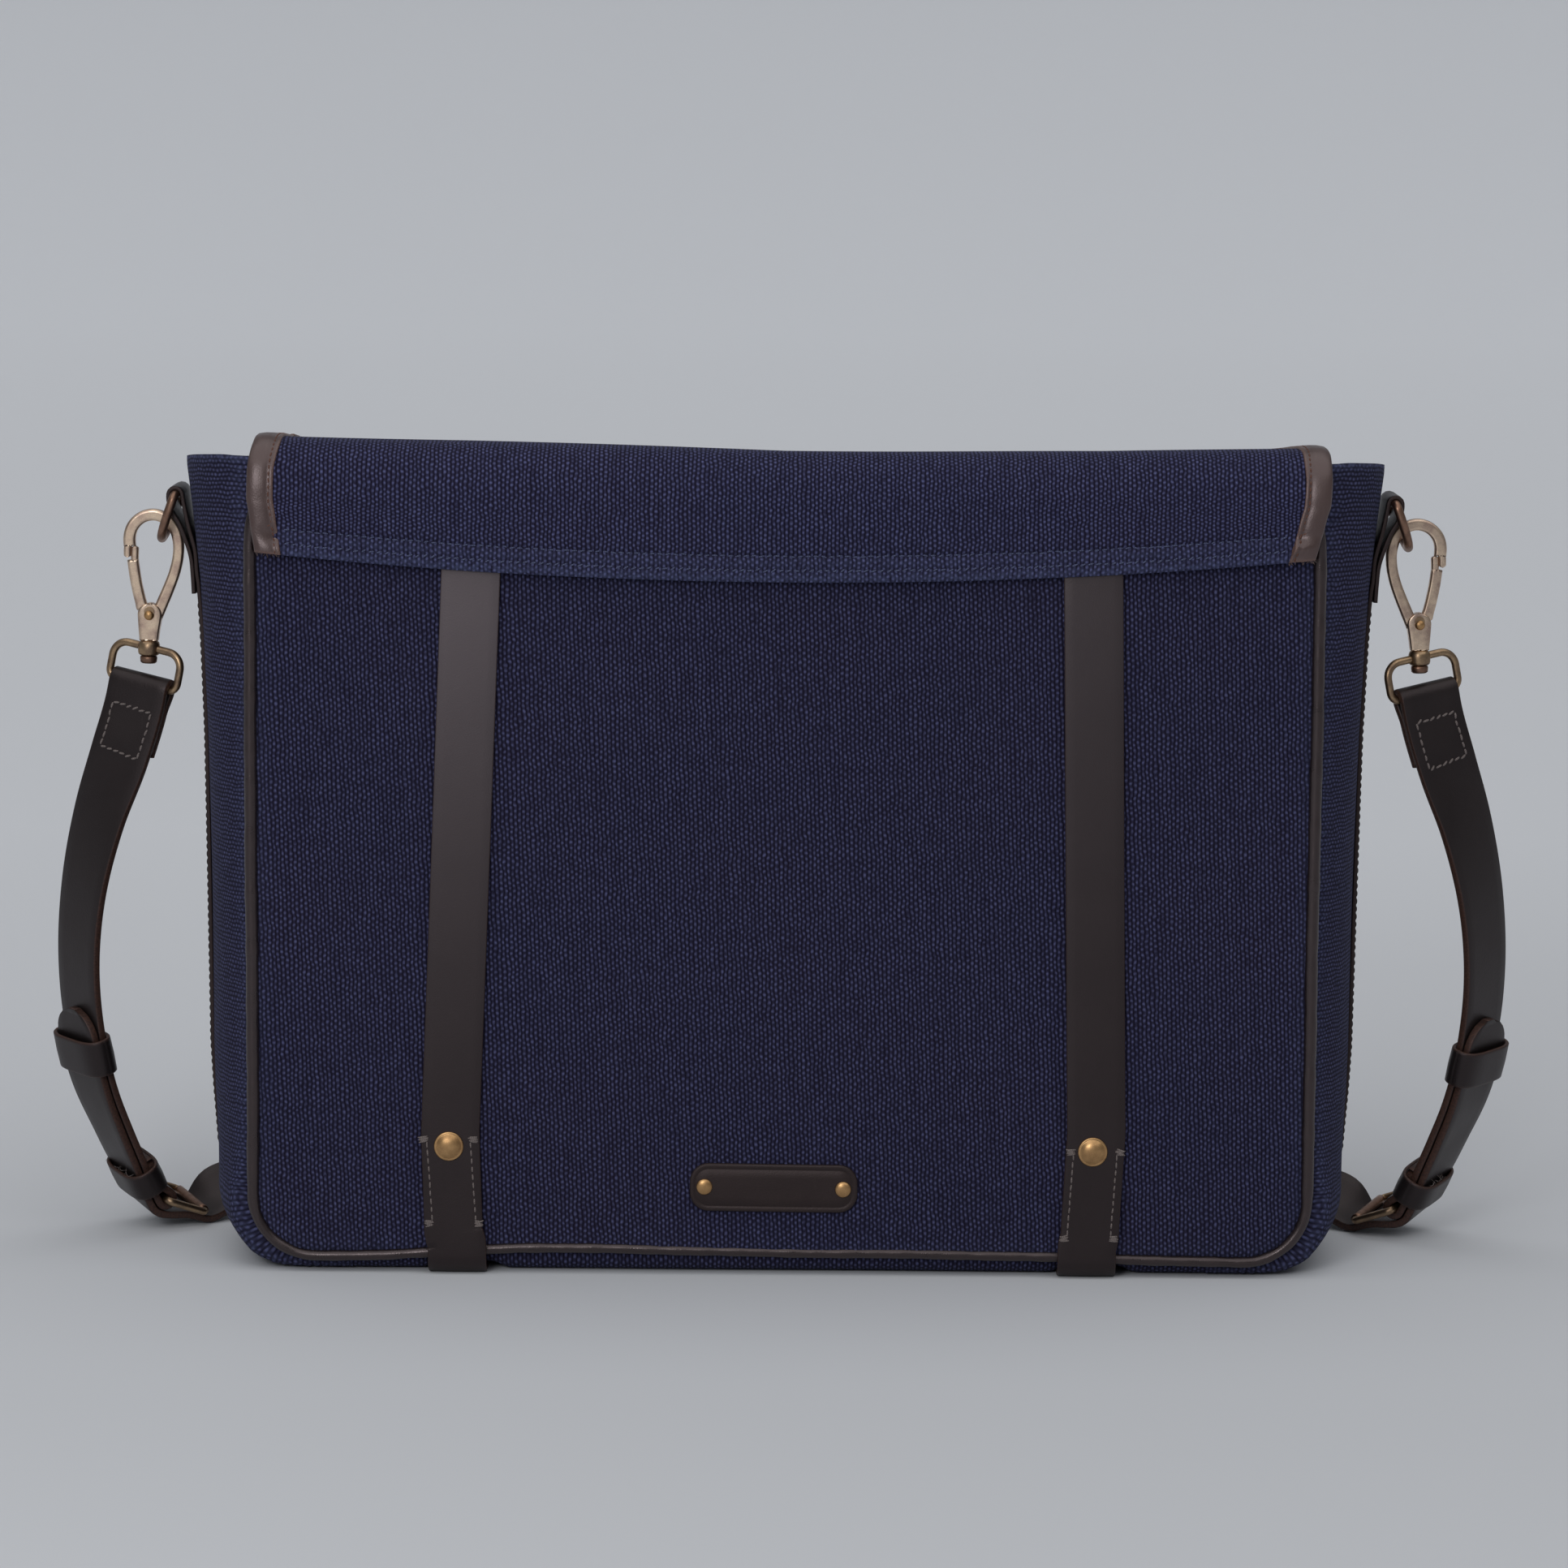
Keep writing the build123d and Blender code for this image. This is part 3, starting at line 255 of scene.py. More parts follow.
def frames_of(route, across):
    """Unit vectors along, across and out of a strap at each point of its route."""
    along = unit(np.gradient(route, axis=0))
    across = np.broadcast_to(across, route.shape)
    across = unit(across - np.sum(across * along, 1, keepdims=True) * along)
    return along, across, np.cross(along, across)


def strap(
    name, route, across, width, thickness, material, tips=(0, 0), soft=0.5, shift=None, taper=1.0,
):
    """A band along a route. tips are the radii of its rounded ends, 0 for a square one."""
    route = np.asarray(route, float)
    along, across, out = frames_of(route, across)
    run = lengths(route)
    scale = np.ones(len(run)) * taper
    for tip, gap in zip(tips, (run, run[-1] - run)):
        if tip:
            scale = scale * np.sqrt(1 - np.clip(1 - gap / tip, 0, 0.985) ** 2)
    ring = band_ring(width, thickness, soft)
    a = ring[None, :, 0] * scale[:, None]
    b = np.broadcast_to(ring[:, 1], a.shape)
    points = route[:, None] + across[:, None] * a[..., None] + out[:, None] * b[..., None]
    if shift is not None:
        points = points + shift(a, run)[..., None] * out[:, None]
    n, m = a.shape
    uv = grid(a + 0.8 * b, run[:, None])
    edge = np.tile(ring[:, 2], n)
    # each end is closed by a second ring just past it, with a sharp shade of its own
    caps = [points[end] + along[end] * 0.02 * way for end, way in ((0, -1), (-1, 1))]
    points = np.vstack([points.reshape(-1, 3), *caps])
    uv = np.vstack([uv.reshape(-1, 2), uv[0], uv[-1]])
    edge = np.concatenate([edge, np.ones(2 * m)])
    faces = [f[::-1] for f in grid_faces(n, m, around=True)]
    start, end, last = n * m, (n + 1) * m, (n - 1) * m
    faces += [[i, start + i, start + (i + 1) % m, (i + 1) % m] for i in range(m)]
    faces += [[last + (i + 1) % m, end + (i + 1) % m, end + i, last + i] for i in range(m)]
    faces += [list(range(start, start + m))[::-1], list(range(end, end + m))]
    return add_mesh(name, points, faces, material, uv, {"edge": edge})


def tube(name, route, radius, material, sides=16, closed=False):
    """A round cord, wire or pipe along a route."""
    route = np.asarray(route, float)
    ends = np.roll(route, -1, 0) - np.roll(route, 1, 0)
    along = unit(ends if closed else np.gradient(route, axis=0))
    normal = unit(np.cross(along[0], [0.31, 0.52, 0.79]))
    normals = []
    for way in along:
        normal = unit(normal - (normal @ way) * way)
        normals.append(normal)
    normals = np.array(normals)
    others = np.cross(along, normals)
    turn = np.linspace(0, 2 * math.pi, sides, endpoint=False)
    radius = np.broadcast_to(np.asarray(radius, float).reshape(-1, 1), (len(route), 1))
    points = (
        route[:, None]
        + normals[:, None] * (np.cos(turn) * radius)[..., None]
        + others[:, None] * (np.sin(turn) * radius)[..., None]
    )
    n = len(route)
    faces = grid_faces(n, sides, around=True)
    faces += joined(n, sides) if closed else ends_of(n, sides)
    uv = grid(turn[None, :] * radius, lengths(route)[:, None]).reshape(-1, 2)
    return add_mesh(name, points.reshape(-1, 3), faces, material, uv, {"edge": np.zeros(n * sides)})


def lathe(name, spots, profile, axis, material, steps=40):
    """Round pieces with one profile of (radius, height) turned about an axis at each spot."""
    axis = unit(axis)
    side = unit(np.cross(axis, [0.3, 0.4, 0.86]))
    other = np.cross(axis, side)
    turn = np.linspace(0, 2 * math.pi, steps, endpoint=False)
    ring = side[None] * np.cos(turn)[:, None] + other[None] * np.sin(turn)[:, None]
    profile = np.asarray(profile, float)
    points, faces, first = [], [], 0
    for spot in spots:
        made = np.asarray(spot, float) + profile[:, None, :1] * ring + profile[:, None, 1:] * axis
        points.append(made.reshape(-1, 3))
        faces += grid_faces(len(profile), steps, first, around=True)
        faces += ends_of(len(profile), steps, first)
        first += len(profile) * steps
    return add_mesh(name, np.vstack(points), faces, material)


class Thread:
    """Collects single stitches, then makes one mesh of them."""

    SHAPE = ((-0.5, 0.35), (-0.38, 0.8), (-0.15, 1.0), (0.15, 1.0), (0.38, 0.8), (0.5, 0.35))

    def __init__(self, name, material, radius=0.32):
        self.name, self.material, self.radius = name, material, radius
        self.points, self.faces, self.uv = [], [], []

    def stitch(self, middle, along, out, length, lift=0.22, radius=None):
        """One stitch: a short thread that dips into the face at both ends."""
        radius = radius or self.radius
        side = np.cross(along, out)
        turn = np.linspace(0, 2 * math.pi, 7, endpoint=False)
        rings = []
        for t, share in self.SHAPE:
            centre = middle + along * t * length + out * (lift * (1 - (2 * t) ** 2) - 0.12)
            ring = np.cos(turn)[:, None] * side + np.sin(turn)[:, None] * out
            rings.append(centre + radius * share * ring)
        first = sum(len(p) for p in self.points)
        self.points.append(np.vstack(rings))
        self.faces += grid_faces(len(rings), 7, first, around=True) + ends_of(len(rings), 7, first)
        uv = [(a, t * length) for t, _ in self.SHAPE for a in turn * radius]
        self.uv.append(np.array(uv) + rng.uniform(0, 9, 2))

    def run(self, route, out, pitch, length, slant=0.0, jitter=0.12, lift=0.22):
        """Stitches at an even pitch along a route, on a face whose normals are given."""
        route = np.asarray(route, float)
        out = np.broadcast_to(np.asarray(out, float), route.shape)
        line, normals = resample(route, pitch, out)
        along = unit(np.gradient(line, axis=0))
        for i in range(len(line) - 1):
            n = unit(normals[i])
            a = unit(along[i] - (along[i] @ n) * n)
            side = np.cross(n, a)
            turn = math.radians(slant) + rng.normal(0, jitter)
            way = a * math.cos(turn) + side * math.sin(turn)
            middle = (line[i] + line[i + 1]) / 2 + side * rng.normal(0, jitter * 0.7)
            self.stitch(middle, way, n, length * rng.uniform(0.9, 1.08), lift)

    def tack(self, middle, across, out, width):
        """A bar tack: a tight knot of stitches across a row's end."""
        middle, across, out = np.asarray(middle, float), unit(across), unit(out)
        down = np.cross(across, out)
        for k in range(6):
            spot = middle + down * (k - 2.5) * 0.36 + across * rng.normal(0, 0.15)
            way = unit(across + down * rng.normal(0, 0.22))
            self.stitch(spot, way, out, width * rng.uniform(0.8, 1.1), 0.45)

    def sew(self, route, out):
        """A strap's plain even seam."""
        self.run(route, out, 3.0, 2.4, jitter=0.05)

    def done(self):
        """The mesh of all the stitches so far."""
        return add_mesh(
            self.name, np.vstack(self.points), self.faces, self.material, np.vstack(self.uv),
        )


# ---- materials -------------------------------------------------------------------------


class Value:
    """One output of a material's nodes. Sums, products and powers of it make maths nodes."""

    def __init__(self, shader, socket):
        self.shader, self.socket = shader, socket

    def __add__(self, other):
        return self.shader.math("ADD", self, other)

    def __mul__(self, other):
        return self.shader.math("MULTIPLY", self, other)

    def __pow__(self, other):
        return self.shader.math("POWER", self, other)

    def __rsub__(self, other):
        return self.shader.math("SUBTRACT", other, self)


class Shader:
    """A procedural material, built up from its surface shader."""

    def __init__(self, name, **fixed):
        self.material = bpy.data.materials.new(name)
        self.material.use_nodes = True
        self.tree = self.material.node_tree
        self.surface = self.tree.nodes["Principled BSDF"]
        for socket, value in fixed.items():
            self.feed(self.surface.inputs[socket.replace("_", " ")], value)

    def node(self, kind, *fed, **settings):
        """A node with its first inputs fed and its settings made."""
        made = self.tree.nodes.new("ShaderNode" + kind)
        for key, value in settings.items():
            setattr(made, key, value)
        for socket, value in zip(made.inputs, fed):
            self.feed(socket, value)
        return made

    def value(self, made, output=0):
        """One of a node's outputs."""
        return Value(self, made.outputs[output])

    def feed(self, socket, value):
        """Links a value to a socket, or sets it there when it is a plain number or colour."""
        if isinstance(value, Value):
            self.tree.links.new(value.socket, socket)
        else:
            if isinstance(value, tuple) and len(socket.default_value) == 4:
                value = (*value, 1)
            socket.default_value = value

    def math(self, operation, *values):
        """The value that a Math node makes of others."""
        return self.value(self.node("Math", *values, operation=operation))

    def mix(self, share, a, b):
        """Colour a where share is 0 and b where it is 1."""
        made = self.node("Mix", share, data_type="RGBA")
        self.feed(made.inputs[6], a)
        self.feed(made.inputs[7], b)
        return self.value(made, 2)

    def scaled(self, vector, factors):
        """A vector with each part multiplied."""
        return self.value(self.node("VectorMath", vector, factors, operation="MULTIPLY"))

    def split(self, vector):
        """The three parts of a vector."""
        made = self.node("SeparateXYZ", vector)
        return [self.value(made, i) for i in range(3)]

    def noise(self, vector, scale, detail=3.0, colour=False):
        """Noise round one half, with scale cycles to the millimetre."""
        made = self.node("TexNoise")
        for socket, value in (("Vector", vector), ("Scale", scale), ("Detail", detail)):
            self.feed(made.inputs[socket], value)
        return self.value(made, 1 if colour else 0)

    def stretch(self, value, low, high):
        """The value's range from low to high spread over 0 to 1."""
        return self.value(self.node("MapRange", value, low, high))

    def field(self, name):
        """A shade that a mesh carries at its points: wear or edge."""
        return self.value(self.node("Attribute", attribute_name=name), "Fac")

    def cloth_map(self):
        """Place on the piece in millimetres, from its own map."""
        return self.value(self.node("UVMap", uv_map="Cloth"))

    def place(self):
        """Place in the model's frame at rest, in millimetres."""
        return self.scaled(self.value(self.node("TexCoord"), "Object"), (1000, 1000, 1000))

    def bump(self, height, distance, strength=1.0):
        """Raises the surface's normals by a height, distance millimetres at 1."""
        made = self.node("Bump")
        for socket, value in (
            ("Height", height), ("Distance", distance * MM), ("Strength", strength),
        ):
            self.feed(made.inputs[socket], value)
        self.feed(self.surface.inputs["Normal"], self.value(made))

    def colour(self, value):
        """Sets the surface's colour."""
        self.feed(self.surface.inputs["Base Color"], value)

    def rough(self, value):
        """Sets the surface's roughness."""
        self.feed(self.surface.inputs["Roughness"], value)


WEAVE_ACROSS, WEAVE_ALONG = 1.57, 2.2  # column pitch and crown pitch of the canvas
ROUND = 1.8  # how quickly a column of thread falls away to its sides


def canvas(name, dark, light, worn):
    """Coarse canvas: crowns of pale thread in staggered columns on a dark ground."""
    s = Shader(
        name,
        Roughness=0.9,
        Specular_IOR_Level=0.12,
        Sheen_Weight=0.06,
        Sheen_Roughness=0.5,
        Sheen_Tint=(0.5, 0.55, 0.8),
    )
    cloth = s.cloth_map()
    wander = s.noise(cloth, 0.16, 2.0, colour=True)
    wander = s.node("VectorMath", wander, (1.9, 1.9, 0), cloth, operation="MULTIPLY_ADD")
    x, y, _ = s.split(s.value(wander))
    across = s.math("COSINE", x * (math.pi / WEAVE_ACROSS))
    along = s.math("COSINE", y * (2 * math.pi / WEAVE_ALONG))
    step = s.math("SIGN", across) * along * 0.5 + 0.5
    column = s.math("ABSOLUTE", across) ** ROUND
    crown = column * step**1.5
    under = column * (1.0 - step) ** 2.0
    fleck = s.stretch(s.noise(cloth, 0.85), 0.32, 0.66) * 0.75
    fleck = fleck + s.stretch(s.noise(cloth, 0.2, 2.0), 0.3, 0.7) * 0.35
    yarn = s.stretch(s.noise(s.scaled(cloth, (0.62, 0.03, 1)), 1.0, 1.0), 0.3, 0.7)
    worn_share = s.field("wear") * s.stretch(s.noise(cloth, 0.5), 0.3, 0.65)
    lit = (crown + under * 0.13 + column * 0.10) * (fleck + 0.26) * (yarn * 0.25 + 0.87)
    hue = s.stretch(s.noise(cloth, 0.012), 0.3, 0.7)
    ground = s.mix(hue, dark, (dark[0] * 1.25, dark[1] * 1.02, dark[2] * 0.96))
    s.colour(s.mix(worn_share * 0.75, s.mix(lit, ground, light), worn))
    s.bump(crown**0.5 + under**0.5 * 0.6 + s.noise(cloth, 5.0) * 0.3, 0.28, 0.9)
    return s.material


def leather(name, face, bloom, raw, rough, gloss, grain=0.05, cloudy=0.035, painted_sheen=None):
    """Finished leather with raw brown edges. Higher up and to the left, it pales towards a painted
    sheen.
    """
    s = Shader(name, Specular_IOR_Level=gloss, Specular_Tint=(1.0, 0.84, 0.86))
    skin = s.cloth_map()
    clouds = s.stretch(s.noise(skin, cloudy, 4.0), 0.3, 0.72)
    scuffs = s.stretch(s.noise(s.scaled(skin, (0.5, 0.09, 1)), 1.0, 4.0), 0.55, 0.8)
    shown = s.mix(clouds * 0.5 + scuffs * 0.35, face, bloom)
    # painted sheen: the leather is painted lighter towards the top and the left, where the key
    # light's highlight falls
    if painted_sheen:
        x, _, z = s.split(s.place())
        shown = s.mix(s.stretch(z, 20, 252) ** 2.0 * s.stretch(x, 240, -120), shown, painted_sheen)
    speckle = s.stretch(s.noise(skin, 1.4), 0.35, 0.6)
    s.colour(s.mix(s.field("edge") * (speckle * 0.7 + 0.3), shown, raw))
    pores = s.node("TexVoronoi", skin)
    pores.inputs["Scale"].default_value = 1.7
    relief = s.value(pores, "Distance") * 0.7 + s.noise(skin, 2.2, 4.0)
    s.bump(relief + s.noise(skin, 0.12) * 2.0, grain, 0.8)
    s.rough((clouds + s.field("edge")) * 0.12 + rough)
    return s.material


def metal(name, bright, patina, roughness):
    """Antique brass: bright worn metal under a brown patina."""
    s = Shader(name, Metallic=1.0)
    spot = s.place()
    cloud = s.stretch(s.noise(spot, 0.22, 5.0), 0.32, 0.68)
    share = cloud * 0.75 + s.stretch(s.noise(spot, 2.4), 0.4, 0.75) * 0.25
    s.colour(s.mix(share, bright, patina))
    s.rough(share * 0.16 + roughness)
    s.bump(s.noise(spot, 3.0, 4.0), 0.03, 0.6)
    return s.material


def thread(name, shade, glint):
    """Waxed thread, twisted from finer strands."""
    s = Shader(name, Roughness=0.7)
    spot = s.cloth_map()
    x, y, _ = s.split(spot)
    twist = s.math("SINE", y * 9.0 + x * 4.5) * 0.5 + 0.5
    s.colour(s.mix((twist + s.noise(spot, 0.6)) * 0.5, shade, glint))
    s.bump(twist, 0.08)
    return s.material


def plain_cloth(name, shade, glint, pitch):
    """Fine plain weave, for the lining and tapes."""
    s = Shader(name, Roughness=0.92, Sheen_Weight=0.15)
    cloth = s.cloth_map()
    across, along = (s.math("COSINE", v * (math.pi / pitch)) for v in s.split(cloth)[:2])
    weave = across * along * 0.5 + 0.5
    blotch = s.stretch(s.noise(cloth, 0.05, 4.0), 0.3, 0.7)
    s.colour(s.mix(weave * 0.6 + blotch * 0.4, shade, glint))
    s.bump(weave, 0.12, 0.8)
    return s.material


# Colours are dark then light: a canvas's worn edge and a leather's raw edge come third. Then
# a leather has its roughness, gloss, grain, the scale of its clouds and its painted sheen.
NAVY = canvas("Navy_canvas", (0.0066, 0.0054, 0.017), (0.082, 0.088, 0.188), (0.088, 0.105, 0.2))
FLAP_NAVY = canvas(
    "Navy_canvas_flap", (0.007, 0.0058, 0.0185), (0.098, 0.107, 0.232), (0.095, 0.115, 0.225)
)
BODY_LEATHER, TAB_LEATHER, BINDING_LEATHER, PIPING_LEATHER, SHOULDER_LEATHER, PATCH_LEATHER = (
    leather(f"{name}_leather", *look)
    for name, *look in (
        (
            "Brown", (0.008, 0.0052, 0.0054), (0.0125, 0.0085, 0.0085), (0.035, 0.018, 0.014), 0.36,
            0.5, 0.05, 0.035, (0.09, 0.077, 0.084),
        ),
        ("Tab", (0.0075, 0.0052, 0.0054), (0.013, 0.009, 0.009), (0.02, 0.011, 0.009), 0.36, 0.45),
        ("Binding", (0.048, 0.029, 0.026), (0.105, 0.07, 0.062), (0.17, 0.095, 0.072), 0.30, 0.85),
        (
            "Piping", (0.007, 0.0042, 0.004), (0.018, 0.0108, 0.0102), (0.07, 0.03, 0.02), 0.25,
            0.85, 0.05, 0.2,
        ),
        (
            "Shoulder", (0.0075, 0.0058, 0.0058), (0.014, 0.0108, 0.0105), (0.06, 0.028, 0.019),
            0.36, 0.45,
        ),
        (
            "Patch", (0.014, 0.0088, 0.0082), (0.026, 0.017, 0.0155), (0.03, 0.016, 0.012), 0.42,
            0.42, 0.07,
        ),
    )
)
BRASS, RIVET_BRASS, SNAP_METAL, SPRING_METAL, COPPER, HOOK_METAL = (
    metal(*look)
    for look in (
        ("Antique_brass", (0.46, 0.32, 0.19), (0.17, 0.115, 0.085), 0.30),
        ("Rivet_brass", (0.61, 0.37, 0.17), (0.34, 0.195, 0.09), 0.32),
        ("Snap_metal", (0.40, 0.33, 0.24), (0.16, 0.12, 0.09), 0.32),
        ("Spring_steel", (0.55, 0.55, 0.55), (0.3, 0.3, 0.3), 0.25),
        ("Copper_post", (0.34, 0.20, 0.14), (0.15, 0.09, 0.065), 0.32),
        ("Hook_brass", (0.84, 0.66, 0.49), (0.36, 0.25, 0.21), 0.26),
    )
)
BLUE_THREAD, GREY_THREAD, DARK_THREAD, BROWN_THREAD, RUST_THREAD = (
    thread(f"{name}_thread", *look)
    for name, *look in (
        ("Blue", (0.024, 0.028, 0.070), (0.105, 0.125, 0.235)),
        ("Grey_brown", (0.080, 0.062, 0.058), (0.24, 0.20, 0.19)),
        ("Dark", (0.016, 0.011, 0.010), (0.05, 0.036, 0.032)),
        ("Brown", (0.055, 0.035, 0.030), (0.20, 0.14, 0.13)),
        ("Rust", (0.055, 0.022, 0.015), (0.17, 0.070, 0.045)),
    )
)
LINING_CLOTH = plain_cloth("Lining_cotton", (0.20, 0.17, 0.13), (0.33, 0.29, 0.23), 0.55)
TAPE_CLOTH = plain_cloth("Lining_tape", (0.018, 0.018, 0.035), (0.05, 0.05, 0.08), 0.6)


# ---- the canvas body -------------------------------------------------------------------


def ripple(x, z, phase):
    """Slow waves of slack cloth, about a millimetre high."""
    return 0.35 * (1 - ease((z - 248) / 24)) * (
        np.sin(x / 41 + z / 77 + phase)
        + 0.8 * np.sin(z / 36 - x / 95 + 2.1 * phase)
        + 0.5 * np.sin(x / 23 - z / 52 + 3.7 * phase)
    )


def seam_lift(x):
    """How far the bottom seam of the back panel is drawn up."""
    return np.interp(
        x, (-172, -148, -118, -98, -60, 0, 60, 115, 150, 172),
        (0.3, 0.7, 2.6, 3.7, 3.8, 2.9, 2.3, 1.6, 0.7, 0.3),
    )


def row_half(z, inset=0.0):
    """Half the width of a body panel at a height, with its rounded bottom corners."""
    r = CORNER_R - inset
    drop = np.clip(CORNER_Z - np.asarray(z, float), 0, r)
    return CORNER_X + np.sqrt(r * r - drop * drop)


def seam_gap(x, z):
    """Distance from a point on a panel to the seam round it."""
    straight = HALF_W - np.abs(x)
    low = z - SEAM_Z
    round_corner = CORNER_R - np.hypot(
        np.maximum(np.abs(x) - CORNER_X, 0), np.maximum(CORNER_Z - z, 0),
    )
    return np.clip(np.where(z < CORNER_Z, np.minimum(low, round_corner), straight), 0, None)


def panel_depth(x, z, phase):
    """How far a panel's cloth stands out from its flat place, rolling in to its seam."""
    x, z = np.asarray(x, float), np.asarray(z, float)
    sag = 0.9 * hump(z - 70, 60) * np.cos(np.clip(x / 210, -1, 1) * math.pi / 2)
    roll = -1.5 * hump(seam_gap(x, z), 2.6) - 0.7 * np.exp(-seam_gap(x, z) / 9)
    return ripple(x, z, phase) + sag + roll


BACK_WAVE, FRONT_WAVE = 0.7, 1.9  # where each panel's waves start


def back_depth(x, z):
    """Depth of the back panel's outer face."""
    return BACK_Y - panel_depth(x, z, BACK_WAVE)


def panel_grid(side, phase, inset=0.0, top=BODY_TOP, depth=0.0):
    """A body panel's face. side is -1 at the back and 1 at the front."""
    steps = np.linspace(0, 1, 111)
    z = SEAM_Z + inset + (top - SEAM_Z - inset) * steps**1.25
    x = np.linspace(-1, 1, 141)[None, :] * row_half(z, inset)[:, None]
    z = np.broadcast_to(z[:, None], x.shape)
    if side < 0:
        z = z + seam_lift(x) * hump(z - SEAM_Z, 14)
    face = BACK_Y if side < 0 else FRONT_Y
    points = grid(x, face + side * (panel_depth(x, z, phase) - depth), z)
    wear = 0.25 * hump(seam_gap(x, z), 5) + 0.9 * hump(top - z, 1.5)
    lean = 0.0375 if side < 0 else 0.0  # the back's weave runs a little off the square
    return points, grid(x + lean * z, (z - lean * x) / 1.026), wear


def gusset_bulge(z):
    """How far a gusset bulges at a height, drawn in towards the corner."""
    share = np.clip((z - CORNER_Z) / (BODY_TOP - CORNER_Z), 0, 1)
    pinch = np.interp(
        z, (30, 45, 65, 82, 120, 160, 203, 239, 258, 267, 284, 300),
        (3.4, 2.6, 1.5, 1.0, 1.7, 2.6, 3.6, 3.7, 3.4, 2.7, 1.5, 0),
    )
    return BULGE_LOW + BULGE_GAIN * share**1.3 - pinch


def gusset_path(top):
    """Rows down, round the corner and under: (x, z, outward x and z, bulge), and the run."""
    rows = []
    straight = np.arange(top, CORNER_Z, -GUSSET_STEP)
    rows += [(-HALF_W, z, -1.0, 0.0, gusset_bulge(z)) for z in straight]
    for turn in np.radians(np.linspace(0, 90, 27)):
        c, s = math.cos(turn), math.sin(turn)
        bulge = BULGE_BASE + (BULGE_LOW - 3.4 - BULGE_BASE) * c * c
        rows.append((-CORNER_X - CORNER_R * c, CORNER_Z - CORNER_R * s, -c, -s, bulge))
    under = np.arange(-CORNER_X + GUSSET_STEP, -CORNER_X + GUSSET_TAIL, GUSSET_STEP)
    rows += [(x, SEAM_Z, 0.0, -1.0, BULGE_BASE) for x in under]
    rows = np.array(rows)
    return rows, lengths(rows[:, :2])


def gusset_grid(sign, inset=0.0, top=BODY_TOP + 1.5, seams=True):
    """A side gusset's face, bulging between its seams and puckered beside them."""
    rows, run = gusset_path(top)
    t = np.sin(np.linspace(-1, 1, 61) * math.pi / 2)
    crown = (1 - np.abs(t) ** 2.3) ** 0.9
    gap = (1 - np.abs(t)) * GUSSET_HALF
    puff = np.interp(
        rows[:, 1], (6, 9, 13, 20, 30, 45, 80, 250, 300),
        (5.6, 8.5, 10.0, 8.5, 6.6, 3.8, 1.2, 0.7, 0),
    )
    beside_seam = (1 - np.exp(-gap / 1.5)) * np.exp(-gap / 28)
    out = rows[:, 4:5] * crown + puff[:, None] * beside_seam - inset
    wear = np.zeros_like(out)
    if seams:
        near = hump(gap[None, :], 4.2) * (1 - hump(gap[None, :], 1.3))
        beat = np.sin(
            run[:, None] * 2 * math.pi / 3.4 + 1.3 * np.sin(run[:, None] / 17) + np.sign(t)[None, :]
        )
        out = out + 0.55 * near * beat + 0.3 * crown * np.sin(run[:, None] / 31 + 2 * t[None, :])
        wear = 0.75 * near * (0.55 + 0.45 * beat) + 0.9 * hump(run[:, None], 1.6)
    x = rows[:, 0:1] + rows[:, 2:3] * out
    z = rows[:, 1:2] + rows[:, 3:4] * out
    rim = np.interp(  # the open top slopes from back to front
        t, (-1, -0.8, -0.5, -0.2, 0.2, 0.6, 1), (-5.6, -5.4, -4.3, -2.8, -0.9, 2.2, 5.3),
    )
    z = z - rim[None, :] * hump(run[:, None], 45)
    y = np.broadcast_to(t[None, :] * (GUSSET_HALF - inset), x.shape)
    across = np.concatenate(
        [[0], np.cumsum(np.hypot(np.diff(t * GUSSET_HALF), np.diff(crown * 24)))]
    )
    uv = grid(-run[:, None], across[None, :])
    return grid(x * -sign, y, z), uv, wear


def base_grid():
    """The base cloth, turned up into the seams and lapped over the gussets' tails."""
    half = span("base_panel")[1][0]
    edge = GUSSET_HALF + 0.4
    route = filleted(
        [
            (-edge, SEAM_Z + 0.3), (-edge + 2.4, 1.5), (-edge + 8, 0.05), (edge - 8, 0.05),
            (edge - 2.4, 1.5), (edge, SEAM_Z + 0.3),
        ],
        6, 1.5,
    )
    run = lengths(route)
    x = np.linspace(-1, 1, 151)
    inset = 3.5 * np.clip((np.abs(route[:, 0]) - edge + 6) / 6, 0, 1) ** 2
    grid_x = x[None, :] * (half - inset[:, None])
    y, z_row = np.broadcast_to(route[:, 0:1], grid_x.shape), route[:, 1:2]
    lift = 0.25 * np.sin(grid_x / 19) * np.clip(z_row / 4, 0, 1)
    lift = lift + np.where(y < 0, seam_lift(grid_x) * np.clip(z_row / SEAM_Z, 0, 1) ** 1.5, 0)
    lift = lift + (STRAP_T + 0.3) * hump(np.abs(grid_x) - 119, 13.5, 8)
    z = z_row + lift
    end = half - np.abs(grid_x)
    wear = 0.8 * hump(end, 1.4)
    return grid(grid_x, y, z), grid(grid_x, run[:, None]), wear


gussets = [
    (f"Gusset_canvas_{n}", gusset_grid(s), GUSSET_T, s > 0, f"side_gusset_{n}") for n, s in SIDES
]
for name, made, thick, flip, node in (
    ("Back_canvas", panel_grid(-1, BACK_WAVE, top=BODY_TOP - 4), CLOTH_T, False, "back_panel"),
    ("Front_canvas", panel_grid(1, FRONT_WAVE, top=BODY_TOP - 5.5), CLOTH_T, True, "front_panel"),
    ("Base_canvas", base_grid(), BASE_T, True, "base_panel"),
    *gussets,
):
    put(sheet(name, [made], NAVY, thick, flip), "bag", "canvas", node)


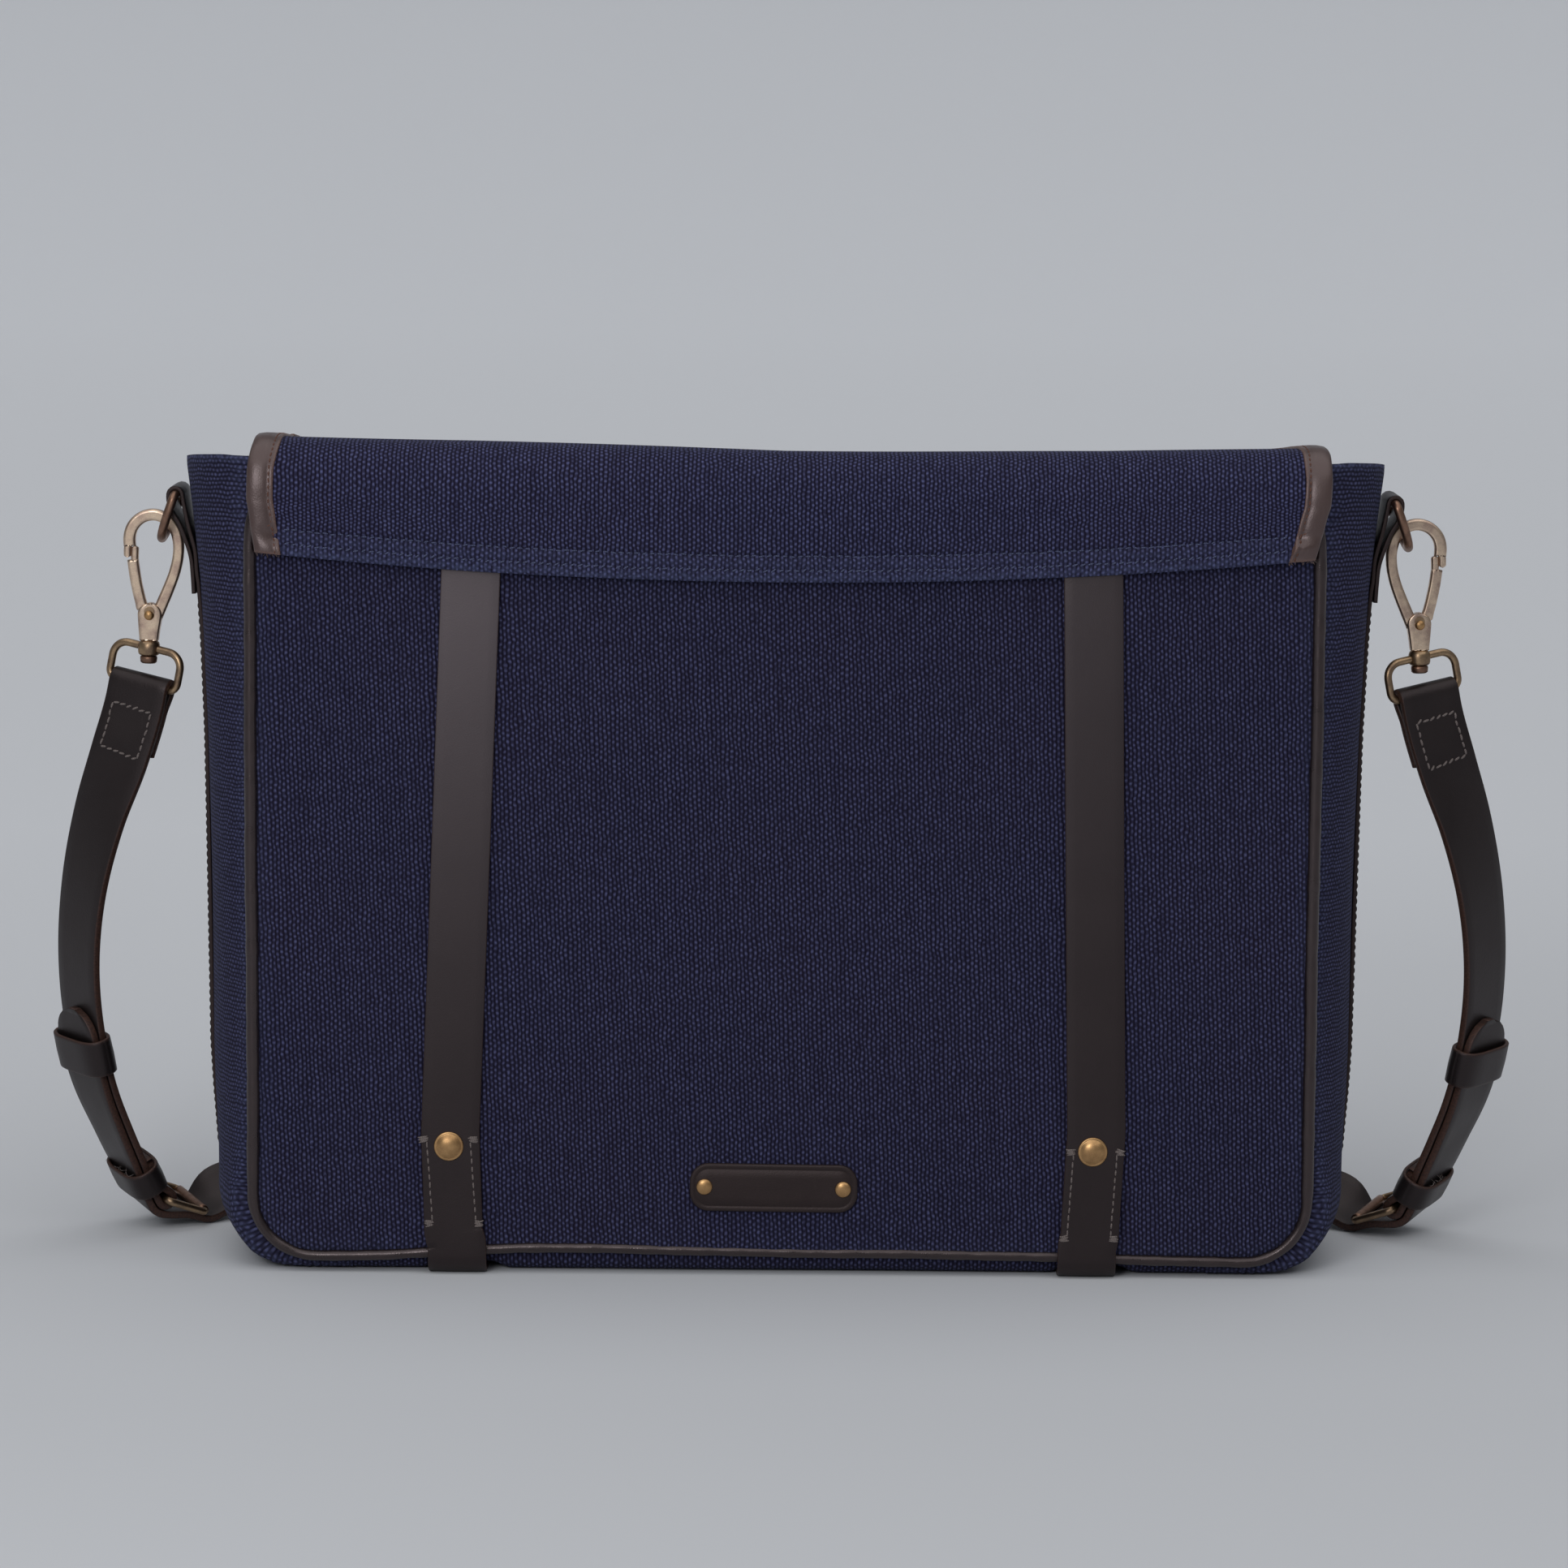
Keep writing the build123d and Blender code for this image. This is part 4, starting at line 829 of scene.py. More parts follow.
def piping_route(y, top):
    """The seam round a panel, from its left top end to its right."""
    left = arc((-CORNER_X, CORNER_Z), CORNER_R, 180, 270, 25)
    right = arc((CORNER_X, CORNER_Z), CORNER_R, 270, 360, 25)
    outline = resample(np.vstack([[(-HALF_W, top)], left, right, [(HALF_W, top)]]), 1.5)
    run = lengths(outline)
    sway = 0.2 * np.sin(run / 27) + 0.1 * np.sin(run / 9.3 + 1)
    x = outline[:, 0] + sway * 0.6
    z = outline[:, 1] + sway * 0.8
    if y < 0:  # its ends tuck in under the flap, and the bottom follows the drawn-up seam
        x = x - np.sign(x) * 5.0 * hump(np.minimum(run, run[-1] - run), 15)
        z = z + hump(outline[:, 1] - SEAM_Z, 12) * seam_lift(outline[:, 0])
    return grid(x, y, z), run


for name, y, top in (
    ("Back_piping", BACK_Y + 1, BODY_TOP + 2),
    ("Front_piping", FRONT_Y - 1, BODY_TOP - 5),
):
    route, run = piping_route(y, top)
    width = 1 + 0.03 * np.sin(run / 3.1) + 0.03 * np.sin(run / 1.7 + 2)
    width = PIPING_R * (width + 0.2 * ease((route[:, 2] - 14) / 30))
    put(tube(name, route, width, PIPING_LEATHER), "bag", "dark_leather", name.lower())


# ---- the flap --------------------------------------------------------------------------
FLAP_T = 2.0
FLAP_HALF = span("flap_top_panel")[1][0]
FLAP_LOW = span("flap_front_panel")[0][2]
FLAP_FACE = span("flap_front_panel")[1][1]
HEM_LOW = span("flap_rear_panel")[0][2]
HEM_RISE = 9.5
FLAP_CORNER = 36.0
EDGE_IN = 0.4  # how far the binding's line lies in from the cloth's edge
flap_route = np.vstack(
    [
        curve_through(
            [
                (-53.3, HEM_LOW), (-53.2, 276), (-53.0, 289), (-52.5, 297), (-50.8, 303),
                (-47.4, 308), (-42.4, 311.2), (-35.5, 312.3), (-26, 312), (-12, 310.9), (6, 309.2),
                (24, 307.4), (38, 305.6), (47, 303), (52.8, 298.8), (FLAP_FACE, 292),
            ],
            1.5,
        ),
        [(FLAP_FACE, FLAP_LOW)],
    ]
)
FLAP_RUN = lengths(flap_route)
TOP_S = float(np.interp(0, flap_route[:-1, 0], FLAP_RUN[:-1]))  # the middle of the top
FRONT_S = FLAP_RUN[-1] - (292 - FLAP_LOW)  # where the front hangs straight


def flap_half(s, side=-1):
    """Half the flap's width on one side: it spreads a little behind, and more on the right."""
    spread = (0.4, 2.1, 3.4, 3.2, 1.6, 0.8, 0) if side < 0 else (0.4, 3.4, 5.8, 6.4, 6.2, 4.5, 0)
    return FLAP_HALF + np.interp(s, (0, 11, 26, 38, 50, 66, 110), spread)


def flap_height(x, s):
    """How much the crest and top stand above the flat route."""
    crest = np.interp(x, (-200, -120, 0, 120, 200), (3.4, 2.0, -0.9, -0.4, 1.6))
    share = ease((s - 24) / 16) * (1 - ease((s - FRONT_S + 22) / 22))
    return crest * share + 0.25 * np.sin(x / 31 + s / 19) * share


def flap_point(x, s):
    """A point on the flap's outer face, from across and the run up from the rear hem."""
    x, s = np.broadcast_arrays(np.asarray(x, float), np.asarray(s, float))
    y = np.interp(s, FLAP_RUN, flap_route[:, 0])
    z = np.interp(s, FLAP_RUN, flap_route[:, 1])
    rise = HEM_RISE * (x / FLAP_HALF) ** 2
    z = z + rise * (1 - ease((s - 8) / 30)) + flap_height(x, s)
    behind = 1 - ease((s - 30) / 12)
    over_strap = sum(hump(x - c, 15, 4) for c in (-117.5, 115.0))
    roll = hump(s - 4.6, 4.6, 6) - 0.9 * hump(s - 9.6, 0.9)
    out = 0.5 * over_strap + 0.85 * roll - 0.35 * hump(s - 4.4, 0.9)
    out = out + 0.25 * np.sin(x / 27 + s / 14)
    bound = ease((np.abs(x) - FLAP_HALF + 13.5) / 2.5)
    out = out * (1 - bound) + bound * 0.3 * hump(s, 9, 4)
    pucker = 0.16 * np.sin(x * 2 * math.pi / 3.1) * hump(s - 5.5, 4)
    y = y - behind * (out + pucker)
    hang = ease((s - FRONT_S) / 20)
    y = y - hang * (0.35 + 0.35 * np.sin(x / 43 + s / 61))
    return grid(x, y, z)


def flap_grid(s, corner=False):
    """A grid over part of the flap, from side to side."""
    share = np.linspace(-1, 1, 301)[None, :]
    x = share * np.where(share < 0, flap_half(s, -1)[:, None], flap_half(s, 1)[:, None])
    if corner:
        left = np.clip(FLAP_RUN[-1] - s, 0, FLAP_CORNER)
        x = x - share * (FLAP_CORNER - np.sqrt(FLAP_CORNER**2 - (FLAP_CORNER - left) ** 2))[:, None]
    grid_s = np.broadcast_to(s[:, None], x.shape)
    wear = 0.5 * hump(grid_s - 1.0, 2.4) + 0.22 * hump(grid_s - 7, 2.2)
    return flap_point(x, grid_s), grid(x, grid_s * 1.07), wear


REAR_S = np.concatenate([np.arange(0, 12, 0.45), np.linspace(12, TOP_S + 0.4, 62)])
FRONT_ALONG = TOP_S + (FLAP_RUN[-1] - TOP_S) * np.sin(np.linspace(0, math.pi / 2, 130))


def rear_fold(piece):
    """Bakes a piece of the flap's rear into its mesh where it lies."""
    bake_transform(piece)


def front_fold(piece):
    """Bakes a piece of the flap's front into its mesh where it lies."""
    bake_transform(piece)


flap_rear = sheet("Flap_canvas_rear", [flap_grid(REAR_S)], FLAP_NAVY, FLAP_T)
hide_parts("flap_rear_panel")
rear_fold(flap_rear)
flap_front = sheet("Flap_canvas_front", [flap_grid(FRONT_ALONG, corner=True)], FLAP_NAVY, FLAP_T)
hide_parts("flap_front_panel", "flap_top_panel")
front_fold(flap_front)


def flap_frame(x, s, way):
    """Points on the flap with their outward normals and the direction given by way = (dx, ds)."""
    here = flap_point(x, s)
    d = 0.6
    over = unit(flap_point(x + d, s) - flap_point(x - d, s))
    up = unit(flap_point(x, s + d) - flap_point(x, s - d))
    normal = unit(np.cross(over, up))
    across = unit(over * np.asarray(way)[:, :1] + up * np.asarray(way)[:, 1:])
    return here, across, normal


BIND_W = 8.6
BIND_SEAM = BIND_W - 1.9  # the stitches' distance from the flap's edge
BIND_SKIN = 0.95  # the binding's outer face, above the cloth


def binding(name, x, s, way):
    """Leather folded over the flap's edge. way points out of the cloth, in (x, s)."""
    here, across, normal = flap_frame(x, s, way)
    skin, back = BIND_SKIN, -FLAP_T - 0.75
    turn = np.radians(np.linspace(72, -72, 7))
    half = FLAP_T / 2
    nose = [(0.35 + 1.25 * math.cos(a), -half + (skin + half) * math.sin(a), 0) for a in turn]
    ring = np.array(
        [
            (-BIND_W, 0.1, 1), (-BIND_W, skin - 0.25, 1), (-BIND_W + 0.3, skin, 0.55),
            (-BIND_W + 1.3, skin - 0.05, 0), (-BIND_W + 2.0, skin - 0.32, 0),
            (-BIND_W + 2.9, skin, 0), (-BIND_W / 2, skin + 0.3, 0), (-1.6, skin + 0.28, 0),
            *nose,
            (-1.6, back - 0.2, 0), (-BIND_W / 2, back - 0.15, 0), (-BIND_W + 0.3, back, 0.5),
            (-BIND_W, back + 0.3, 1), (-BIND_W, -FLAP_T - 0.1, 1),
        ]
    )
    run = lengths(here)
    sway = 0.22 * np.sin(run / 11) + 0.12 * np.sin(run / 4.1 + 1)
    a = ring[None, :, 0] + np.where(ring[None, :, 0] < -BIND_W + 1.5, sway[:, None], 0)
    b = ring[None, :, 1] + (ring[None, :, 1] > 0) * 0.5 * hump(run[:, None], 15)
    points = here[:, None] + across[:, None] * a[..., None] + normal[:, None] * b[..., None]
    faces = grid_faces(*a.shape, around=True) + ends_of(*a.shape)
    uv = grid(a + b, run[:, None])
    edge = np.tile(ring[:, 2], (len(run), 1))
    edge[[0, -1]] = 1.0
    made = add_mesh(
        name, points.reshape(-1, 3), faces, BINDING_LEATHER, uv.reshape(-1, 2),
        {"edge": edge.ravel()},
    )
    line = here - across * BIND_SEAM + normal * (skin - 0.3)
    return made, line, normal, here, across


hem_thread = Thread("Flap_hem_stitches", BLUE_THREAD, 0.33)
hem_x = np.linspace(-FLAP_HALF + 9, FLAP_HALF - 9, 300)
for offset, slant in ((4.4, 24), (9.6, 4)):
    line, _, normal = flap_frame(hem_x, np.full(300, offset), np.tile([1.0, 0.0], (300, 1)))
    hem_thread.run(line, normal, 2.9, 2.3, slant, jitter=0.16, lift=0.3)
rear_fold(hem_thread.done())

for side_name, sign in SIDES:
    s = np.linspace(0.2, TOP_S, 90)
    x = sign * (flap_half(s, sign) - EDGE_IN)
    way = np.tile([sign, 0.0], (len(s), 1))
    bound, line, normal, here, across = binding(f"Flap_binding_rear_{side_name}", x, s, way)
    rear_fold(bound)
    bind_thread = Thread(f"Flap_binding_stitches_{side_name}", RUST_THREAD, 0.36)
    bind_thread.run(line[8:], normal[8:], 2.5, 1.9, jitter=0.07)
    for a in (BIND_SEAM, 1.5):
        box = here[:11] - across[:11] * a + normal[:11] * BIND_SKIN
        bind_thread.run(box, normal[:11], 2.3, 2.0, 12, jitter=0.2)
    for row in (1, 10):
        inward = across[row] * np.linspace(1.5, BIND_SEAM, 4)[:, None]
        cross = here[row] - inward + normal[row] * BIND_SKIN
        bind_thread.run(cross, np.tile(normal[row], (4, 1)), 2.2, 2.0, 14, jitter=0.25)
    rear_fold(bind_thread.done())
    fray = Thread(f"Flap_binding_fray_{side_name}", BROWN_THREAD, 0.13)
    for _ in range(26):
        spot = here[0] - across[0] * rng.uniform(-1.2, BIND_W) + normal[0] * rng.uniform(-2.0, 0.9)
        spot = spot + np.array([0, 0, rng.uniform(-0.7, 0.5)])
        way = unit([rng.normal(0, 0.5), rng.normal(0, 0.4), -1.0])
        fray.stitch(spot, way, np.array([0, -1.0, 0]), rng.uniform(1.2, 2.4))
    rear_fold(fray.done())
    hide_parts("flap_rear_bindings")

low = FLAP_RUN[-1]
down = np.linspace(TOP_S, low - FLAP_CORNER, 120)[:-1]
corner_turn = np.radians(np.linspace(0, 90, 22))
bottom = np.linspace(-FLAP_HALF + FLAP_CORNER, FLAP_HALF - FLAP_CORNER, 120)[1:-1]
rim = [(-flap_half(v) + EDGE_IN, v, -1.0, 0.0) for v in down]
for c, s in zip(np.cos(corner_turn), np.sin(corner_turn)):
    r = FLAP_CORNER - EDGE_IN
    rim.append((-FLAP_HALF + FLAP_CORNER - r * c, low - FLAP_CORNER + r * s, -c, s))
rim += [(v, low - EDGE_IN, 0.0, 1.0) for v in bottom]
rim += [(-a, b, -c, d) for a, b, c, d in rim[len(down) : len(down) + len(corner_turn)][::-1]]
rim += [(flap_half(v, 1) - EDGE_IN, v, 1.0, 0.0) for v in down[::-1]]
rim = np.array(rim)
front_bound, line, normal, _, _ = binding("Flap_binding_front", rim[:, 0], rim[:, 1], rim[:, 2:])
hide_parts("flap_front_binding", "flap_top_bindings")
front_fold(front_bound)
front_thread = Thread("Flap_binding_stitches_front", RUST_THREAD, 0.36)
front_thread.run(line, normal, 2.5, 1.9, jitter=0.07)
front_fold(front_thread.done())


# ---- wrap straps, rivets and the label patch -------------------------------------------
STRAP_TOP_FRONT = span("closure_rivets")[0][2] + 3.2
SEAM_Y = 52.4  # middle of a wrap strap where it passes over the bottom seams


def strap_depth(x, z, rise):
    """Depth at a height above a wrap strap's back face, easing out to pass over the seam."""
    near = ease((48 - z) / 36)
    return (back_depth(x, z) - rise - SKIN_GAP) * (1 - near) + (STRAP_T / 2 - rise - SEAM_Y) * near


def wrap_route(sign):
    """Middle line of a wrap strap: down the back, under the base and up the front."""
    back = [(276, -116.6), (265, -116.8), (160, -120.6), (54, -124.6), (14, -123.2), (3, -122)]
    if sign > 0:
        back = [(276, 114.5), (267, 114.8), (160, 117.0), (56, 119.1), (14, 117.0), (3, 116.2)]
    z, x = np.array(back, float).T
    fine_z = np.arange(276, 13, -2.5)
    fine_x = np.interp(-fine_z, -z, x)
    points = list(grid(fine_x, strap_depth(fine_x, fine_z, STRAP_T / 2), fine_z))
    low_x, end_x = x[-1], sign * STRAP_X
    under = [(47.5, STRAP_T / 2), (52.2, 4.0), (SEAM_Y, 12)]
    turn = filleted([(-y, z) for y, z in under[::-1]] + under, 6, 1.5)
    share = ease((turn[:, 0] + 50) / 100)
    points += [(low_x + (end_x - low_x) * s, y, z) for s, (y, z) in zip(share, turn)]
    rise = np.arange(15, STRAP_TOP_FRONT + 0.1, 3)
    front_y = FRONT_Y + panel_depth(end_x, rise, FRONT_WAVE) + STRAP_T / 2 + 0.3
    near = ease((30 - rise) / 16)
    front_y = front_y * (1 - near) + SEAM_Y * near
    points += [(end_x, y, z) for y, z in zip(front_y, rise)]
    return curve_through(np.array(points)[::2], 1.6)


def cupped(a, run):
    """A wrap strap's face is a little domed, and rises and falls along it."""
    return 0.22 * np.cos(a / 11 * math.pi / 2) + 0.12 * np.sin(run / 37)[:, None]


ALONG_X, BACKWARD = (1, 0, 0), (0, -1, 0)
for side_name, sign in SIDES:
    name, route = f"Wrap_strap_{side_name}", wrap_route(sign)
    band = strap(name, route, ALONG_X, STRAP_W, STRAP_T, BODY_LEATHER, soft=0.45, shift=cupped)
    put(band, "bag", "dark_leather", name.lower())

rivet_profile = [
    (5.2, -2.4), (5.5, 0), (5.6, 0.55), (5.25, 0.95), (4.85, 0.8), (4.6, 0.95), (3.9, 1.6),
    (2.8, 2.1), (1.5, 2.4), (0.5, 2.5), (0.02, 2.5),
]
rivet_spots = [
    (x, back_depth(x, z) - STRAP_T - SKIN_GAP, z) for x, z in ((-125.1, 49.5), (117.8, 49.3))
]
rivets = lathe("Wrap_rivets", rivet_spots, rivet_profile, BACKWARD, RIVET_BRASS, 48)
put(rivets, "bag", "antique_brass", "wrap_strap_rivets")

WRAP_SEAM = 8.2  # the stitches' distance from the strap's middle
strap_thread = Thread("Wrap_strap_stitches", GREY_THREAD, 0.34)
for (x0, x1), (top_l, low_l) in (((-125.2, -122.8), (51.5, 20.5)), ((119.0, 116.8), (48.5, 16.5))):
    for edge in (-1, 1):
        z = np.linspace(top_l, low_l, 30)
        x = np.interp(-z, (-51.5, -16.5), (x0, x1)) + edge * WRAP_SEAM
        y = strap_depth(x, z, STRAP_T) - 0.05 * ease((48 - z) / 36)
        strap_thread.sew(grid(x, y, z), BACKWARD)
        for i, rise in ((0, 0.6), (-1, -0.6)):
            strap_thread.tack((x[i] + edge * 1.2, y[i], z[i] + rise), ALONG_X, BACKWARD, 3.6)
put(strap_thread.done(), "bag", "dark_leather")


def rounded_plate(name, half, corner, levels, place, material):
    """A raised round-cornered plate of (inset, height) levels; place maps (a, b, h) to points."""
    rows, between = [], np.linspace(0, 1, 14)[1:-1]
    for inset, _ in levels:
        r = max(corner - inset, 0.05)
        hx, hz = half[0] - inset - r, half[1] - inset - r
        loop = []
        centres = ((hx, hz), (-hx, hz), (-hx, -hz), (hx, -hz))
        turned = [arc(at, r, 90 * k, 90 * k + 90, 12) for k, at in enumerate(centres)]
        for k, corner_line in enumerate(turned):
            here, ahead = corner_line[-1], turned[(k + 1) % 4][0]
            loop += [*corner_line, *(here + (ahead - here) * t for t in between)]
        rows.append(np.array(loop))
    cols = len(rows[0])
    flat = np.vstack(rows)
    height = np.repeat([h for _, h in levels], cols)
    points = place(flat[:, 0], flat[:, 1], height)
    faces = grid_faces(len(rows), cols, around=True) + ends_of(len(rows), cols)
    edge = np.repeat([1.0 if h < levels[-1][1] * 0.6 else 0.0 for _, h in levels], cols)
    return add_mesh(name, points, faces, material, flat + height[:, None] * 0.7, {"edge": edge})


PATCH_X, PATCH_Z, PATCH_TILT = -2.4, 34.2, -0.006


def patch_place(a, b, h):
    """The patch lies a shade crooked and follows the cloth."""
    c, s = math.cos(PATCH_TILT), math.sin(PATCH_TILT)
    x, z = PATCH_X + a * c - b * s, PATCH_Z + a * s + b * c
    return grid(x, back_depth(x, z) - h + 0.12, z)


patch_levels = [
    (0.25, 0), (0.0, 0.4), (0.0, 1.1), (0.25, 1.5), (0.7, 1.65), (1.6, 1.65), (1.9, 1.4),
    (2.3, 1.4), (2.6, 1.65), (5.5, 1.72), (8.8, 1.72),
]
patch = rounded_plate("Label_patch", (31.7, 9.2), 7.2, patch_levels, patch_place, PATCH_LEATHER)
put(patch, "bag", "patch_leather", "label_patch")
small_profile = [
    (2.9, -2.0), (3.05, 1.55), (3.05, 1.9), (2.75, 2.25), (2.0, 2.6), (1.0, 2.8), (0.02, 2.85),
]
patch_spots = [(x, back_depth(x, z), z) for x, z in ((-28.6, 34.6), (23.8, 34.0))]
patch_rivets = lathe("Label_rivets", patch_spots, small_profile, BACKWARD, RIVET_BRASS)
put(patch_rivets, "bag", "antique_brass", "label_rivets")


# ---- side tabs -------------------------------------------------------------------------
TAB_W, TAB_T, TAB_SEAM = 24.0, 1.5, 9.6
BAR_X, BAR_Z, RING_WIRE_R = -231.2, 291.5, 1.7
TAB_LOW = span("side_tab_left")[0][2]


def mirrored(points, sign):
    """Points of a left-hand piece, moved to the other side when sign is 1."""
    return np.asarray(points, float) * np.array([-sign, 1, 1])


def tab_route():
    """Middle line of a side tab: up the gusset, round the ring's bar and back down over itself."""
    z = np.arange(TAB_LOW, 262, 3.0)
    x = -(HALF_W + gusset_bulge(z) + TAB_T / 2 + 0.15)
    reach = RING_WIRE_R + 0.15 + TAB_T / 2
    inner = grid(x, z)
    rise = np.array([(x[-1] - 0.5, 270), (-226.6, 281), (BAR_X + reach, BAR_Z)])
    fold = arc((BAR_X, BAR_Z), reach, 0, 180, 13)[1:]
    lap = [(-232.9, 286), (-229.6, 280), (-227.6, 275)]
    lap += [(x[-1] - 1.9, 268), (x[-2] - 1.4, 261), (x[-4] - 1.2, 254)]
    flat = np.vstack([inner, rise, fold, lap])
    x, z = curve_through(flat, 1.2).T
    return grid(x, 0.0, z)


tab_line = tab_route()


def hug(a, run):
    """The tab lies round the gusset's bulge up to where it lifts off to the ring."""
    z = tab_line[:, 2]
    share = (1 - ease((z - 235) / 45)) * gusset_bulge(z)
    return share[:, None] * (1 - (1 - np.abs(a / GUSSET_HALF) ** 2.3) ** 0.9)


for side_name, sign in SIDES:
    route = mirrored(tab_line, sign)
    tab = strap(
        f"Side_tab_{side_name}", route, (0, sign, 0), TAB_W, TAB_T, TAB_LEATHER, soft=0.3,
        shift=hug,
    )
    put(tab, "bag", "dark_leather", f"side_tab_{side_name}")
    seam = Thread(f"Side_tab_stitches_{side_name}", DARK_THREAD, 0.26)
    for rows in (slice(0, 175), slice(-22, None)):  # up the gusset, then down the lap
        for y in (-TAB_SEAM, TAB_SEAM):
            line = tab_line + np.array([-TAB_T / 2, y, 0])
            line[:, 0] += hug(y, None)[:, 0]
            seam.sew(mirrored(line[rows], sign), (sign, 0, 0))
    for row in (-21, -6):
        cross = tab_line[row] + grid(-TAB_T / 2, np.linspace(-TAB_SEAM, TAB_SEAM, 8), 0)
        seam.run(mirrored(cross, sign), (sign, 0, 0), 2.9, 2.4, jitter=0.05)
    put(seam.done(), "bag", "dark_leather")


# ---- metal parts kept from the CAD model -----------------------------------------------


def dress(node, material, bevel):
    """Finishes a CAD node: its seams welded, its corners worn round and its material on."""
    piece = bpy.data.objects[node]
    piece.data.materials.clear()
    piece.data.materials.append(material)
    weld = piece.modifiers.new("Weld", "WELD")
    weld.merge_threshold = 0.00001
    if bevel:
        worn = piece.modifiers.new("Worn corners", "BEVEL")
        worn.width, worn.segments = bevel * MM, 3
        worn.limit_method, worn.angle_limit = "ANGLE", math.radians(38)
        worn.harden_normals = False


for side_name, _ in SIDES:
    for stem, material, bevel in (
        ("ring", COPPER, 0),
        ("gate_pin", BRASS, 0.4),
        ("gate_spring", SPRING_METAL, 0.15),
        ("strap_buckle", BRASS, 0),
        ("strap_prong", BRASS, 0.5),
        ("closure_buckle", BRASS, 0),
        ("closure_prong", BRASS, 0.4),
    ):
        dress(f"{stem}_{side_name}", material, bevel)
for node, material, bevel in (
    ("snap_sockets", SNAP_METAL, 0.3),
    ("snap_studs", SNAP_METAL, 0.3),
    ("closure_rivets", RIVET_BRASS, 0.4),
    ("base_board", TAPE_CLOTH, 0.5),
):
    dress(node, material, bevel)

# The swivel hooks, in the plane of the hook: x across, y up from its foot.
HOOK_FOOT = np.array([-242.9, 0, 234.5])
HOOK_TILT = math.radians(2.2)
PIN_RISE = 10.2  # height of the gate's pin above the foot
hook_up = np.array([math.sin(HOOK_TILT), 0, math.cos(HOOK_TILT)])
hook_over = np.array([math.cos(HOOK_TILT), 0, -math.sin(HOOK_TILT)])
eye_line = curve_through(
    [
        (2.6, 9.5), (4.9, 15.4), (6.9, 20.6), (8.9, 26.6), (10.1, 33.0), (10.0, 38.6),
        (8.3, 43.8), (4.9, 47.2), (0.4, 48.5), (-4.2, 47.2), (-7.5, 43.7), (-8.6, 39.6),
        (-8.4, 36.2),
    ],
    0.8,
)
lip_flat = curve_through([(-8.7, 38.5), (-9.2, 35.0), (-9.1, 31.8)], 0.35)
gate_flat = curve_through([(-2.6, 11.6), (-4.5, 18), (-6.1, 25), (-7.1, 31.0)], 0.8)
tip_flat = curve_through([(-6.4, 28.5), (-6.4, 33.0), (-6.4, 36.2)], 0.35)
shank_flat = curve_through([(0.0, 0.4), (0.0, 5), (0.1, 10), (0.2, 14.6)], 0.5)
eye_taper = 1 + 0.06 * np.cos(lengths(eye_line) / 9)
shank_taper = np.interp(shank_flat[:, 1], (0, 2, 10, 16), (0.76, 0.80, 1.0, 1.03))
gate_taper = np.interp(gate_flat[:, 1], (11, 15), (1.2, 1.0))
post_profile = [
    (2.0, 1.0), (2.0, -5.5), (2.7, -5.6), (3.2, -5.9),
    (3.3, -6.6), (3.15, -8.0), (2.6, -8.5), (0.1, -8.6),
]
pin_profile = [(1.9, -0.4), (1.9, 0.7), (1.6, 1.2), (1.0, 1.55), (0.02, 1.7)]
for side_name, sign in SIDES:
    flip = np.array([-sign, 1, 1])
    for name, flat, width, thick, tips, taper in (
        ("Hook_eye", eye_line, 4.3, 4.2, (0, 0), eye_taper),
        ("Hook_shank", shank_flat, 9.2, 5.6, (0, 4.2), shank_taper),
        ("Gate_bar", gate_flat, 4.2, 3.8, (1.4, 0), gate_taper),
        ("Hook_lip", lip_flat, 2.8, 3.9, (0, 1.0), 1.0),
        ("Gate_tip", tip_flat, 2.8, 3.5, (0, 1.0), 1.0),
    ):
        route = (HOOK_FOOT + flat[:, :1] * hook_over + flat[:, 1:] * hook_up) * flip
        sideways = np.cross(unit(np.gradient(route, axis=0)), (0, 1.0, 0))
        piece = strap(
            f"{name}_{side_name}", route, sideways, width, thick, HOOK_METAL,
            tips=tips, soft=0.85, taper=taper,
        )
        body = f"{name[:4].lower()}_{side_name}"
        put(piece, body, "antique_brass", *([body] if name in ("Hook_eye", "Gate_bar") else []))
    pin_at = (HOOK_FOOT + hook_up * PIN_RISE) * flip + [0, -2.7, 0]
    for piece in (
        lathe(f"Hook_post_{side_name}", [HOOK_FOOT * flip], post_profile, hook_up * flip, COPPER),
        lathe(f"Hook_pin_{side_name}", [pin_at], pin_profile, BACKWARD, RIVET_BRASS, 24),
    ):
        put(piece, f"hook_{side_name}", "antique_brass")


# ---- shoulder strap --------------------------------------------------------------------
# Worked out for the left side, from the swivel loop down to the buckle and on round the front.
LOOP_TILT, LOOP_HEIGHT, TOP_YAW = 11.0, 14.5, 20.0
WIRE_R = 1.5
FOLD = WIRE_R + 0.05 + SHOULDER_T / 2
LAYER = SHOULDER_T + 0.3
LOOP_HALF = SHOULDER_W / 2 + 0.8 + WIRE_R
END_RUN, TOE_REACH = 17.0, 17.0


def width_way(yaw, lean):
    """The way across the strap, from its turn about the vertical and its lean in degrees."""
    yaw, lean = math.radians(yaw), math.radians(lean)
    return np.array(
        [math.cos(lean) * math.cos(yaw), -math.cos(lean) * math.sin(yaw), -math.sin(lean)]
    )


